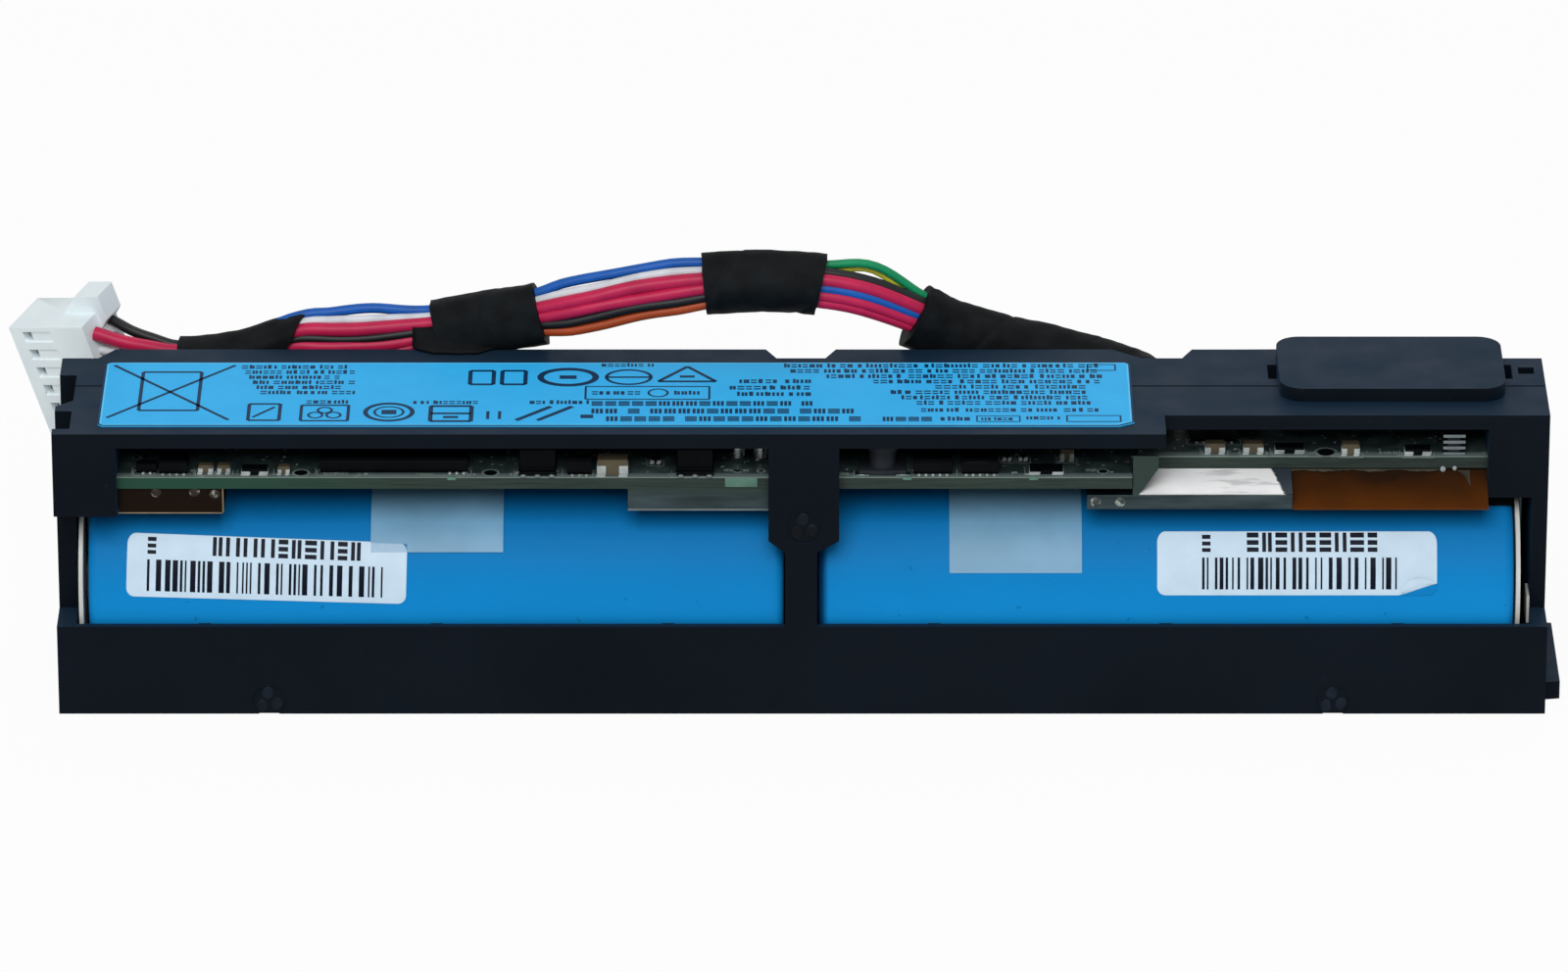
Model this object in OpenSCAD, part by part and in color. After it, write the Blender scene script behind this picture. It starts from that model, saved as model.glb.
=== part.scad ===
// Battery module for a storage controller: two cells end to end in a moulded
// frame, a circuit board above them, a label face on top and a taped harness.
// +X runs along the cells, -Y faces the cell windows, +Z is the label face.
// The origin is the middle of the underside.

/* [Cells] */
// Diameter of one cell over its sleeve
cell_d = 18.4; // [17.6:0.1:19]
// Length of one cell over its sleeve
cell_l = 65.2; // [62:0.1:68]
// Space between the two cells
cell_gap = 3.2; // [2.8:0.1:4.4]
// Thickness of the shrink sleeve
sleeve_t = 0.15; // [0.1:0.01:0.25]
// Radius of the rounded edge at each cell end
cell_edge_r = 0.9; // [0.6:0.1:1.4]
// Radius of the bare steel that the sleeve leaves at each end
bare_r = 6.4; // [5:0.1:7.4]
// Space between the sleeve and what lies against it
cell_clear = 0.1; // [0.05:0.01:0.25]

/* [Frame] */
// Moulded wall in front of and behind the cells
wall_t = 0.7; // [0.6:0.1:1.4]
// Moulded floor under the cells
floor_t = 1.3; // [1:0.1:2.4]
// Left end wall
left_wall_t = 1.8; // [1.1:0.1:2.5]
// Right end wall
right_wall_t = 1.45; // [1.1:0.05:2.5]
// Space past the left cell for its tab and disc
left_room = 1.15; // [1.1:0.05:2]
// Space past the right cell for its tab and disc
right_room = 1.7; // [1.2:0.05:2.2]
// Height of the front rail above the foot
rail_h = 9; // [6:0.5:10]
// Distance of the parting line behind the window side
seam_y = 11.3; // [10.8:0.1:13.5]
// Length of the left end block
left_block_l = 5.9; // [5:0.1:8]
// Length of the right end block
right_block_l = 5.65; // [5:0.1:8]
// Gap between the cells and the end blocks
block_gap = 0.5; // [0.4:0.05:1]
// Thickness of the ribs that cradle the cells
rib_t = 1.2; // [0.8:0.1:2]
// Ribs under each cell
rib_count = 3; // [2:1:5]

/* [Label face] */
// Thickness of the label face
face_t = 1.45; // [1.2:0.05:2.2]
// Length of the set-back front edge at the right
step_l = 36; // [30:0.5:44]
// Depth of the set-back front edge at the right
step_w = 4.4; // [3:0.1:5.4]
// Depth of the notches in the cable edge
notch_w = 2.1; // [1.2:0.1:2.6]
// Length of the notch over the left end
left_notch_l = 3.4; // [2:0.1:3.8]
// Length of the notch over the right end
right_notch_l = 3.8; // [2:0.1:3.9]
// Length of the notch over the space between the cells
mid_notch_l = 4.6; // [3:0.1:8]
// Run of a notch's slanted side
notch_run = 1; // [0.4:0.1:2]
// Depth of the two grips in the left end
grip_depth = 1.6; // [0.6:0.1:1.8]
// Length of the finger pad
pad_l = 21.2; // [16:0.1:24]
// Width of the finger pad
pad_w = 12.4; // [9:0.1:14]
// Height of the finger pad above the face
pad_h = 1.33; // [0.8:0.01:2]
// Corner radius of the finger pad
pad_r = 2.2; // [1:0.1:3]
// Distance of the finger pad from the right end
pad_in = 3.9; // [3:0.1:6]
// Width of the slots beside the finger pad
slot_l = 0.9; // [0.4:0.05:1.2]
// Length of the slots beside the finger pad
slot_w = 3.3; // [2:0.1:5]
// How far the foot stands past the right end
foot_out = 1.57; // [1:0.01:3]
// Height of the foot
foot_h = 1.8; // [1.2:0.1:3]
// Width of the foot
foot_w = 14.2; // [8:0.1:16]
// Width of the middle bar above the cells
bar_l = 6.6; // [5:0.1:9]
// Thickness of the middle bar
bar_t = 1.2; // [0.8:0.1:1.3]
// Height of the bar's wide part above the foot
bar_z = 17.8; // [16:0.1:19]

/* [Circuit board] */
// Thickness of the board
board_t = 1.2; // [0.8:0.1:1.6]
// Space between the cells and the board
board_lift = 2.7; // [2.4:0.1:4]
// Space between the board and the label face
part_room = 3.55; // [3.4:0.05:5]
// Distance of the board's front edge behind the windows
board_in = 1.5; // [1.5:0.1:2.4]
// Depth of the board's set-back front edge behind the windows
board_step_in = 6.3; // [5.4:0.1:7]
// Distance of the board's set-back edge from the middle
board_step_x = 30.9; // [26:0.1:31]
// Length of board held in each end block
board_hold = 1.5; // [1:0.1:2.5]
// Clearance round the board in the end blocks
board_clear = 0.1; // [0.05:0.01:0.25]
// Distance of the board from the moulding at the cable side
board_back = 0.2; // [0.1:0.05:0.6]

/* [Strips and tapes] */
// Thickness of the nickel strip
strip_t = 0.25; // [0.15:0.01:0.35]
// Thickness of the insulating discs
disc_t = 0.4; // [0.2:0.05:0.5]
// Thickness of the tapes and stickers on the cells
tape_t = 0.06; // [0.04:0.01:0.09]
// Thickness of the silver foil
foil_t = 0.12; // [0.08:0.01:0.2]
// Thickness of the heat-proof tape
film_t = 0.2; // [0.1:0.01:0.3]
// Clearance between the strips and what they lie on
strip_clear = 0.05; // [0.02:0.01:0.1]

/* [Label] */
// Length of the rating label
label_l = 96.65; // [80:0.05:98]
// Width of the rating label
label_w = 15; // [11:0.1:15.6]
// Thickness of the rating label
label_t = 0.12; // [0.08:0.01:0.2]
// Distance of the label from the left end
label_in = 4.15; // [4:0.05:8]
// Distance of the label from the front edge
label_front = 1.7; // [1:0.1:2.2]

/* [Harness] */
// Radius of the bundle of wires
wires_r = 2.1; // [1.8:0.1:2.2]
// Length of the connector along its row of contacts
plug_row_l = 12.2; // [11.6:0.1:14]
// Thickness of the connector
plug_t = 5.3; // [4.6:0.1:6]
// Length of the connector along its wires
plug_l = 8.8; // [7:0.1:10]
// Pitch of the contacts
pitch = 2; // [1.5:0.1:2.2]
// Side of the connector's windows
window_w = 0.9; // [0.6:0.05:1.2]

/* [Hidden] */
$fn = 64;
eps = 1; // how far a cutting shape runs past what it cuts

// Cell length for which the places and lengths of the parts on the board and the
// harness are given; they stretch with the cells
drawn_l = 65.2;
stretch = cell_l / drawn_l;

// Values that only one place needs, grouped by what they belong to
grips_y = [[1.3, 5.4, 0], [7.9, 13.8, 1.4]];
left_run = 1.5;
groove = 0.12;
slot_y = 13;
key_in = 0.9;
key_l = 1.5;
key_y = 14.2;
bar_out = 0.25;
bar_slant = 1.2;
mark_r = 1.6;
mark_up = 1.35;
mark_depth = 0.15;
mark_in = 16.8;
exit_l = 3.8;
exit_run = 2.8;
exit_r = 1.6;
link_y = 14.4;
tab_w = 6;
tab_reach = 8;
left_disc_gap = 0.5;
right_disc_gap = 0.2;
end_pad_t = 0.25;
end_pad_z = [-3, -0.3];
strip_y = 1.8;
left_strip_l = 14.6;
right_strip_out = 4.2;
right_strip_l = 19.2;
right_strip_h = 1.4;
lug_l = 2.4;
lug_h = 2;
lug_foot = 0.6;
lug_slant_h = 2.7;
foil_slant = 1.9;
left_film_l = 9.9;
film_gap = 0.05;
tape_lap = 3.35;
layer_gap = 0.01;
clear_tape_in = 12.3;
clear_tape_l = 12.4;
left_tape_from = 33;
right_tape_from = 21;
clear_tape_end = 96;
sticker_in = 3.65;
sticker_end = 7.25;
sticker_l = 26.2;
sticker_r = 0.8;
sticker_tilt = 1.7;
end_tape_l = 2.7;
end_tape_from = 63;
end_tape_to = 80;
chips = [[-61.1, 0.9, 1.9, 1.2, 0.9], [-58.6, 0.6, 2.7, 3, 1.3],
    [-38, 0.9, 13.8, 6, 1.5], [-20.7, 0.4, 2.3, 1.6, 1.6], [12.3, 0.5, 3.6, 4, 1.5],
    [16.7, 0.5, 3.4, 4, 1.5], [38.8, 8, 4.4, 3, 1.7]];
capacitors = [[-55.6, 0.8, 1.3, 0.8, 0.8], [-53.9, 0.8, 1.1, 0.8, 0.8],
    [-48.3, 0.6, 1, 0.8, 0.8], [-17.6, 0.3, 2.8, 1.6, 1.6], [38.8, 5.4, 1.8, 1, 1],
    [42.4, 5.4, 1.8, 1, 1], [51.5, 5, 1.6, 1, 1.1], [24.9, 3.8, 1.2, 1, 1.1]];
resistors = [[-51, 0.4, 2.4, 1.2, 0.6], [-13.6, 3.1, 0.9, 0.5, 0.5],
    [19.3, 3.8, 0.7, 0.5, 0.5], [20.8, 3.8, 0.7, 0.5, 0.5], [22.9, 0.6, 3.1, 1.6, 0.4],
    [45.8, 5.4, 2.7, 1.2, 0.6], [57.8, 5, 2.4, 1.2, 0.6]];
solder_left = [[3.6, 1.7], [7.2, 1.75], [9.1, 1.5]];
solder_right = [[0.8, 0.7], [3.1, 0.7]];
transistors_x = [-24.6, -9.9];
tab_plate = [3.5, 3.6, 0.4];
tab_body = [3.3, 3, 2];
inductor_x = 7.6;
coil_base = [4.4, 3.2, 0.5];
cans_x = [-5.95, -3.75];
pins_x = 61.2;
dome_r = 0.7;
dome_sink = 0.5;
label_cut = [1.4, 0.8];
latch_h = 1.8;
latch_out = 0.9;
window_in = 1.4;
groove_l = 3.4;
groove_w = 1.1;
groove_t = 0.15;
contact_clear = 0.05;
contact_z = [for (i = [-5:2:5]) i * pitch / 2];

// Route of the harness from the connector back to the board, with y and z
// measured from the frame's top edge at the cable side
sides = 12;
plug_at = [-65.9, 4.5, -3.7];
plug_turn = [13, -13, -32];
plug_lead = 2.5;
// Direction in which the wires leave the connector
plug_dir = [cos(plug_turn.y) * cos(plug_turn.z), cos(plug_turn.y) * sin(plug_turn.z),
    -sin(plug_turn.y)];
path = [[-61.5, 2.9, -2.6], [-59.8, 2.7, -2.3], [-54.6, 2.6, -1.6], [-49, 2.6, 0.3],
    [-45, 2.6, 0.5], [-40.5, 2.6, 0.7], [-35.5, 2.5, 1.3], [-30.5, 2, 2.3],
    [-25.5, 1.4, 3.2], [-20.5, 1, 4.4], [-15.5, 1, 5.5], [-10, 1, 6.3],
    [-4.5, 1, 6.6], [1, 1, 6.3], [5.5, 1.2, 5.3], [10.1, 1.7, 3.2],
    [13.5, 2.3, 1.3], [18.5, 2.6, -0.2], [23.5, 2.7, -1.3], [27.5, 2.4, -2.1],
    [30.5, 1.6, -2.7], [32.4, -0.1, -3], [33.1, -2, -3.2], [33.2, -3.5, -3.3]];
last = len(path) + 1;
// Points of the route where each stretch of wires starts and its wrap starts and ends
wrap_ends = [[0, 3, 5], [5, 8, 10], [10, 13, 15], [15, 17, last]];

// Heights above the foot
cell_r = cell_d / 2;
cell_z = floor_t + cell_clear + cell_r;
cell_top = cell_z + cell_r;
block_z = cell_top + block_gap;
board_z = cell_top + board_lift;
board_top = board_z + board_t;
face_z = board_top + part_room;
frame_h = face_z + face_t;

// Distances behind the window side
frame_w = 2 * (wall_t + cell_clear) + cell_d;
mid_y = frame_w / 2;
inner_y = frame_w - wall_t;
board_end_y = inner_y - notch_w - board_back;

// Route of the harness in the row's own frame
function at_edge(p) = [p.x * stretch, p.y + mid_y, p.z + frame_h];
plug_place = at_edge(plug_at);
route = concat([plug_place, plug_place + plug_lead * plug_dir],
    [for (p = path) at_edge(p)]);
exit_x = route[last].x;

// Places along the cells
frame_l = left_wall_t + left_room + 2 * cell_l + cell_gap + right_room + right_wall_t;
x_left = -(frame_l + foot_out) / 2;
x_right = x_left + frame_l;
left_wall_x = x_left + left_wall_t;
left_cell_x = left_wall_x + left_room;
gap_x = left_cell_x + cell_l;
mid_x = gap_x + cell_gap / 2;
right_cell_x = gap_x + cell_gap;
right_end_x = right_cell_x + cell_l;
right_wall_x = right_end_x + right_room;
left_block_x = x_left + left_block_l;
right_block_x = x_right - right_block_l;
step_x = x_right - step_l;
board_step = mid_x + board_step_x;
right_strip_x = board_step - right_strip_out;
right_strip_end = right_strip_x + right_strip_l;
pad_x = x_right - pad_in - pad_l;

black = [0.09, 0.1, 0.12];
nickel = [0.62, 0.63, 0.64];
steel = [0.7, 0.71, 0.73];
blue = [0.1, 0.5, 0.78];
amber = [0.45, 0.22, 0.06];
clear_blue = [0.6, 0.72, 0.82];
tape_black = [0.12, 0.13, 0.13];
wire_red = [0.75, 0.14, 0.3];

// ---- Shared shapes: every module below works from the window side, y = 0

module placed() {
    translate([0, -mid_y, 0]) children();
}

// A box between two corners
module block(low, high) {
    translate(low) cube(high - low);
}

// A rectangle with round corners
module round_plate(size, r) {
    translate([r, 0]) square([size.x - 2 * r, size.y]);
    translate([0, r]) square([size.x, size.y - 2 * r]);
    for (x = [r, size.x - r], y = [r, size.y - r])
        translate([x, y]) circle(r, $fn = 32);
}

// A bar along X with the profile given as [y, z] points
module along_x(x0, x1, profile) {
    translate([x0, 0, 0]) rotate([90, 0, 90]) linear_extrude(x1 - x0) polygon(profile);
}

// A revolved shape about a line through both cells' middles, from x on
module on_cell(x) {
    translate([x, mid_y, cell_z]) rotate([0, 90, 0]) children();
}

// A thin patch that follows a cell's sleeve from angle a0 to a1 above the front;
// layer 1 lies over what layer 0 holds
module cell_patch(x0, x1, a0, a1, layer = 0) {
    r = cell_r + cell_clear / 4 + layer * (tape_t + layer_gap);
    on_cell(x0) rotate(270 - a1) rotate_extrude(angle = a1 - a0)
        translate([r, 0]) square([tape_t, x1 - x0]);
}

// A plate in the x-z plane, drawn from y0 to y1
module along_y(y0, y1) {
    translate([0, y1, 0]) rotate([90, 0, 0]) linear_extrude(y1 - y0) children();
}

// A strip bent into a channel that opens to the back: lip, top and bottom
module channel(x0, x1, y0, y1, z0, z1, t) {
    along_x(x0, x1, [[y1, z0], [y0, z0], [y0, z1], [y1, z1], [y1, z1 - t],
        [y0 + t, z1 - t], [y0 + t, z0 + t], [y1, z0 + t]]);
}

// ---- Moulded frame

// One notch in the cable edge, with slanted sides; grow leaves a wall round it
module notch(x0, x1, run0, run1, grow = 0) {
    y = frame_w - notch_w - grow;
    translate([0, 0, block_z + wall_t - grow]) linear_extrude(frame_h)
        polygon([[x0 - run0 - grow, frame_w + eps], [x0 - run0 - grow, frame_w],
            [x0 - grow, y], [x1 + grow, y], [x1 + run1 + grow, frame_w],
            [x1 + run1 + grow, frame_w + eps]]);
}

module notches(grow = 0) {
    notch(x_left - eps, x_left + left_notch_l, 0, left_run, grow);
    notch(mid_x - mid_notch_l / 2, mid_x + mid_notch_l / 2, notch_run, notch_run, grow);
    notch(exit_x - exit_l / 2, exit_x + exit_l / 2, exit_run, notch_run, grow);
    notch(x_right - right_notch_l, x_right + eps, 0, 0, grow);
}

// The room for both cells, open to the windows between the end walls
module cell_room() {
    block([left_wall_x, wall_t, floor_t], [right_wall_x, inner_y, block_z]);
    block([left_wall_x, -eps, rail_h], [right_wall_x, wall_t + eps, block_z]);
}

// The room for the board, open to the windows between the end blocks
module board_room() {
    difference() {
        block([left_block_x, -eps, block_z - eps], [right_block_x, inner_y, face_z]);
        notches(wall_t);
    }
    block([left_block_x - board_hold - board_clear, board_in - board_clear,
        board_z - board_clear], [left_block_x + eps, inner_y - notch_w,
        board_top + board_clear]);
    block([right_block_x - eps, board_step_in - board_clear, board_z - board_clear],
        [right_block_x + board_hold + board_clear, inner_y - notch_w,
        board_top + board_clear]);
}

// Ribs that cradle the cells, cut to the sleeves
module cell_ribs() {
    reach = cell_l / rib_count;
    difference() {
        for (x = [left_cell_x, right_cell_x], i = [0:rib_count - 1])
            translate([x + (i + 0.5) * reach - rib_t / 2, wall_t / 2, floor_t / 2])
                cube([rib_t, frame_w - wall_t, block_z - floor_t / 2]);
        on_cell(x_left) cylinder(h = frame_l, r = cell_r + cell_clear);
        block([x_left, -eps, rail_h], [x_right, seam_y, frame_h]);
    }
}

// The bar between the windows: wide over the cells, narrow between them
module middle_bar() {
    narrow = cell_gap / 2 - cell_clear;
    wide = bar_l / 2;
    translate([mid_x, bar_t, 0]) rotate([90, 0, 0]) linear_extrude(bar_t)
        polygon([[-narrow, rail_h / 2], [-narrow, bar_z - bar_slant],
            [bar_out - wide, bar_z], [bar_out - wide, face_z + face_t / 2],
            [bar_out + wide, face_z + face_t / 2], [bar_out + wide, bar_z],
            [narrow, bar_z - bar_slant], [narrow, rail_h / 2]]);
}

// Fine groove all round the frame where the two shells meet
module seam_groove() {
    difference() {
        block([x_left - eps, seam_y - groove, -eps],
            [x_right + eps, seam_y + groove, frame_h + eps]);
        block([x_left + groove, 0, groove], [x_right - groove, frame_w,
            frame_h - groove]);
    }
}

// Foot that stands past the right end, drawn in towards its tip
module foot() {
    draw = 0.5;
    y0 = mid_y - foot_w / 2;
    linear_extrude(foot_h) polygon([[right_wall_x, y0], [x_right + foot_out, y0 + draw],
        [x_right + foot_out, y0 + foot_w - draw], [right_wall_x, y0 + foot_w]]);
}

// Both shells as one moulding, without the finger pad
module moulding() {
    difference() {
        block([x_left, 0, 0], [x_right, frame_w, frame_h]);
        block([x_left - eps, -eps, rail_h], [x_right + eps, step_w, block_z]);
        cell_room();
        board_room();
        block([step_x, -eps, block_z], [x_right + eps, step_w, frame_h + eps]);
        notches();
        for (y = grips_y) translate([0, 0, board_top]) linear_extrude(frame_h)
            polygon([[x_left - eps, y[0] - y[2]], [x_left, y[0] - y[2]],
                [x_left + grip_depth, y[0]], [x_left + grip_depth, y[1]],
                [x_left - eps, y[1]]]);
        seam_groove();
        block([exit_x - exit_l / 2, inner_y - notch_w - eps, board_top],
            [exit_x + exit_l / 2, frame_w + eps, face_z]);
        for (x = [pad_x - slot_l, pad_x + pad_l])
            block([x, slot_y, face_z - eps], [x + slot_l, slot_y + slot_w, frame_h + eps]);
        block([x_right - key_in - key_l, key_y, face_z], [x_right - key_in, key_y + key_l,
            frame_h + eps]);
    }
    cell_ribs();
    foot();
}

// What lies in front of the parting line
module front_half() {
    intersection() {
        block([-frame_l, -eps, -eps], [frame_l, seam_y, frame_h + eps]);
        children();
    }
}

module rear_half() {
    intersection() {
        block([-frame_l, seam_y, -eps], [frame_l, frame_w + eps, frame_h + eps]);
        children();
    }
}

// Small round marks that the ejector pins leave on the window side
module ejector_marks() {
    for (p = [[left_cell_x + mark_in, floor_t], [right_end_x - mark_in, floor_t],
            [mid_x + bar_out, bar_z + mark_up]])
        translate([p.x, mark_depth, p.y]) rotate([90, 0, 0])
            cylinder(h = eps, r = mark_r);
}

module front_shell() {
    color(black) placed() difference() {
        union() {
            front_half() moulding();
            middle_bar();
        }
        ejector_marks();
    }
}

// The rear shell carries the finger pad, which laps over the parting line
module rear_shell() {
    color(black) placed() {
        rear_half() moulding();
        translate([pad_x, frame_w - pad_w, frame_h]) linear_extrude(pad_h)
            round_plate([pad_l, pad_w], pad_r);
        difference() {
            block([gap_x + cell_clear, mid_y + cell_r / 2, floor_t / 2],
                [right_cell_x - cell_clear, frame_w - wall_t / 2, block_z]);
            block([gap_x, mid_y, -eps], [right_cell_x, link_y, frame_h]);
        }
    }
}

// ---- Cells

// Outline of a cell end to end as [radius, x] points, shrunk by t all round
module cell_outline(t) {
    r = cell_r - t;
    e = cell_edge_r - t;
    translate([0, t]) {
        translate([0, e]) square([r, cell_l - 2 * t - 2 * e]);
        square([r - e, cell_l - 2 * t]);
        for (y = [e, cell_l - 2 * t - e]) translate([r - e, y]) circle(e, $fn = 48);
    }
}

module can(x) {
    color(steel) placed() on_cell(x) rotate_extrude()
        cell_outline(sleeve_t + cell_clear / 4);
}

// Shrink sleeve, folded over both ends of the can
module sleeve(x) {
    color(blue) placed() on_cell(x) rotate_extrude() difference() {
        cell_outline(0);
        cell_outline(sleeve_t);
        translate([0, -eps]) square([bare_r, cell_l + 2 * eps]);
    }
}

module left_cell_can() { can(left_cell_x); }
module right_cell_can() { can(right_cell_x); }
module left_cell_sleeve() { sleeve(left_cell_x); }
module right_cell_sleeve() { sleeve(right_cell_x); }

// Paper disc at the end of a cell, with a round hole in its middle
module end_disc(x) {
    color("ghostwhite") placed() on_cell(x) difference() {
        cylinder(h = disc_t, r = cell_r - cell_edge_r / 2);
        translate([0, 0, -eps]) cylinder(h = disc_t + 2 * eps, r = bare_r / 2);
    }
}

module left_end_disc() {
    end_disc(left_cell_x - left_disc_gap - disc_t);
}

module right_end_disc() {
    end_disc(right_end_x + right_disc_gap);
}

// Welded tab: up the end of a cell and over its top edge; dir points inwards
module end_tab(x, dir) {
    z = cell_top + strip_clear;
    color(nickel) placed() translate([x, mid_y - tab_w / 2, 0])
        mirror([dir < 0 ? 1 : 0, 0, 0]) {
        block([0, 0, cell_z - tab_w / 2], [strip_t, tab_w, z + strip_t]);
        block([0, 0, z], [tab_reach, tab_w, z + strip_t]);
    }
}

module left_end_tab() {
    end_tab(left_cell_x - strip_clear - strip_t, 1);
}

module right_end_tab() {
    end_tab(right_end_x + right_disc_gap + disc_t + strip_clear + strip_t, -1);
}

// Nickel link folded over the space between the cells
module cell_link() {
    z = cell_top + strip_clear;
    color(nickel) placed() translate([0, mid_y - tab_w / 2, 0]) {
        for (x = [gap_x + strip_clear, right_cell_x - strip_clear - strip_t])
            block([x, 0, cell_z - tab_w / 2], [x + strip_t, tab_w, z + strip_t]);
        block([gap_x + strip_clear, 0, z], [right_cell_x - strip_clear, tab_w,
            z + strip_t]);
    }
}

// White pad between the right tab and the end wall
module end_pad() {
    x = right_wall_x - strip_clear;
    color("white") placed() block([x - end_pad_t, mid_y - tab_w, cell_z + end_pad_z[0]],
        [x, mid_y - tab_w / 2, cell_z + end_pad_z[1]]);
}

// ---- Strips, tapes and stickers

// Sense strip from the link to the board's underside
module left_nickel_strip() {
    z = cell_top + 2 * strip_clear + strip_t;
    color(nickel) placed() {
        channel(gap_x - left_strip_l, mid_x, strip_y, mid_y, z,
            board_z - strip_clear, strip_t);
    }
}

// Bus strip from the right cell, with a lug bent up past the board's edge
module right_nickel_strip() {
    z = block_z;
    lug_x = board_step + strip_clear;
    color(nickel) placed() {
        channel(right_strip_x, right_strip_end, strip_y, mid_y, z, z + right_strip_h,
            strip_t);
        along_y(strip_y, strip_y + strip_t) polygon([[lug_x, z + right_strip_h / 2],
            [lug_x + lug_foot, z + right_strip_h / 2], [lug_x + lug_foot,
            z + right_strip_h], [lug_x + lug_l, z + right_strip_h + lug_slant_h],
            [lug_x + lug_l, board_top + lug_h], [lug_x, board_top + lug_h]]);
    }
}

// Foil that slopes from the right strip up to the board's edge, with a slanted end
module silver_foil() {
    z = block_z + right_strip_h + strip_clear;
    x0 = board_step + 2 * strip_clear + lug_foot;
    run = board_step_in - strip_y;
    slope = atan2(board_z - strip_clear - foil_t - z, run);
    color("silver") placed() translate([0, strip_y, z]) rotate([slope, 0, 0])
        linear_extrude(foil_t) polygon([[x0, 0], [right_strip_end, 0],
            [right_strip_end, run / cos(slope)], [x0 + foil_slant, run / cos(slope)]]);
}

// Heat-proof tape folded round the left tab under the board
module left_film_tape() {
    color(amber) placed() channel(left_block_x + strip_clear,
        left_block_x + left_film_l, strip_y, mid_y - tab_w / 2 - strip_clear,
        cell_top + strip_clear, board_z - strip_clear, film_t);
}

// Heat-proof tape that slopes from the board's edge down to the right cell
module right_film_tape() {
    x1 = right_block_x - strip_clear;
    low = block_z - film_t / 2;
    high = board_z - 2 * film_t;
    color(amber) placed() along_x(right_strip_end + film_gap, x1,
        [[strip_y, low], [strip_y, low + film_t], [board_step_in, high + film_t],
        [mid_y, high + film_t], [mid_y, high], [board_step_in, high]]);
}

// Clear tape over the end of the left sticker
module left_clear_tape() {
    x0 = left_cell_x + sticker_in + sticker_l - tape_lap;
    color(clear_blue) placed() cell_patch(x0, x0 + clear_tape_l, left_tape_from,
        clear_tape_end, 1);
}

module right_clear_tape() {
    x0 = right_cell_x + clear_tape_in;
    color(clear_blue) placed() cell_patch(x0, x0 + clear_tape_l, right_tape_from,
        clear_tape_end);
}

// A sticker with round corners on a cell's front, from angle a0 to a1 above it
module sticker(x, a0, a1, tilt) {
    r = cell_r + cell_clear / 4;
    h = cell_r * (sin(a1) - sin(a0));
    color("lightsteelblue") placed() intersection() {
        on_cell(x - sticker_l) difference() {
            cylinder(h = 3 * sticker_l, r = r + tape_t);
            translate([0, 0, -eps]) cylinder(h = 3 * sticker_l + 2 * eps, r = r);
        }
        translate([x + sticker_l / 2, 0, cell_z + cell_r * (sin(a0) + sin(a1)) / 2])
            rotate([0, tilt, 0]) along_y(0, mid_y) translate([-sticker_l / 2, -h / 2])
                round_plate([sticker_l, h], sticker_r);
    }
}

module left_cell_sticker() {
    sticker(left_cell_x + sticker_in, 5, 42, sticker_tilt);
}

module right_cell_sticker() {
    sticker(right_end_x - sticker_end - sticker_l, 8, 46, 0);
}

// Black tape near the top of the right cell's end
module end_tape() {
    color(tape_black) placed() cell_patch(right_end_x - end_tape_l, right_end_x,
        end_tape_from, end_tape_to);
}

module rating_label() {
    color([0.24, 0.69, 0.94]) placed() translate([x_left + label_in, label_front,
        frame_h]) linear_extrude(label_t) difference() {
            round_plate([label_l, label_w], 0.7);
            polygon([[label_l - label_cut.x, -eps], [label_l - label_cut.x, 0],
                [label_l, label_cut.y], [label_l + eps, label_cut.y],
                [label_l + eps, -eps]]);
        }
}

// ---- Board and what is soldered to it

module circuit_board() {
    x0 = left_block_x - board_hold;
    x1 = right_block_x + board_hold;
    color([0.2, 0.36, 0.26]) placed() translate([0, 0, board_z]) linear_extrude(board_t)
        polygon([[x0, board_in], [board_step, board_in], [board_step, board_step_in],
            [x1, board_step_in], [x1, board_end_y], [x0, board_end_y]]);
}

// The middle of a part's front edge on the board, x from the middle of the frame
module at_part(x, y) {
    placed() translate([mid_x + x * stretch, board_in + y, board_top]) children();
}

// Boxes on the board, each as [x from the middle, y from the edge, length, width, height]
module on_board(list) {
    for (p = list) at_part(p[0] - p[2] / 2, p[1]) cube([p[2] * stretch, p[3], p[4]]);
}

// A moulded package with its long edges bevelled
module chip(l, w, h) {
    b = h / 5;
    rotate([90, 0, 90]) linear_extrude(l)
        polygon([[0, b], [b / 2, 0], [w - b / 2, 0], [w, b], [w, h - b], [w - b, h],
            [b, h], [0, h - b]]);
}

module black_chips() {
    color([0.13, 0.13, 0.14]) for (p = chips)
        at_part(p[0] - p[2] / 2, p[1]) chip(p[2] * stretch, p[3], p[4]);
}

module power_transistors() {
    color([0.2, 0.2, 0.21]) for (x = transistors_x) at_part(x, 0.25) {
        translate([-tab_plate.x / 2, 0, 0]) cube(tab_plate);
        translate([-tab_body.x / 2, tab_plate.y - tab_body.y, tab_plate.z])
            cube(tab_body);
    }
}

module ceramic_capacitors() { color([0.55, 0.42, 0.28]) on_board(capacitors); }
module chip_resistors() { color([0.75, 0.76, 0.78]) on_board(resistors); }

// Drum core on a flat base, with a flange on top
module inductor() {
    color([0.25, 0.26, 0.28]) at_part(inductor_x, 1.9) {
        translate([-coil_base.x / 2, -coil_base.y / 2, 0]) cube(coil_base);
        rotate_extrude() polygon([[0, 0], [1.25, 0], [1.25, 2.1], [1.6, 2.3],
            [1.6, 2.9], [0, 2.9]]);
    }
}

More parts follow.
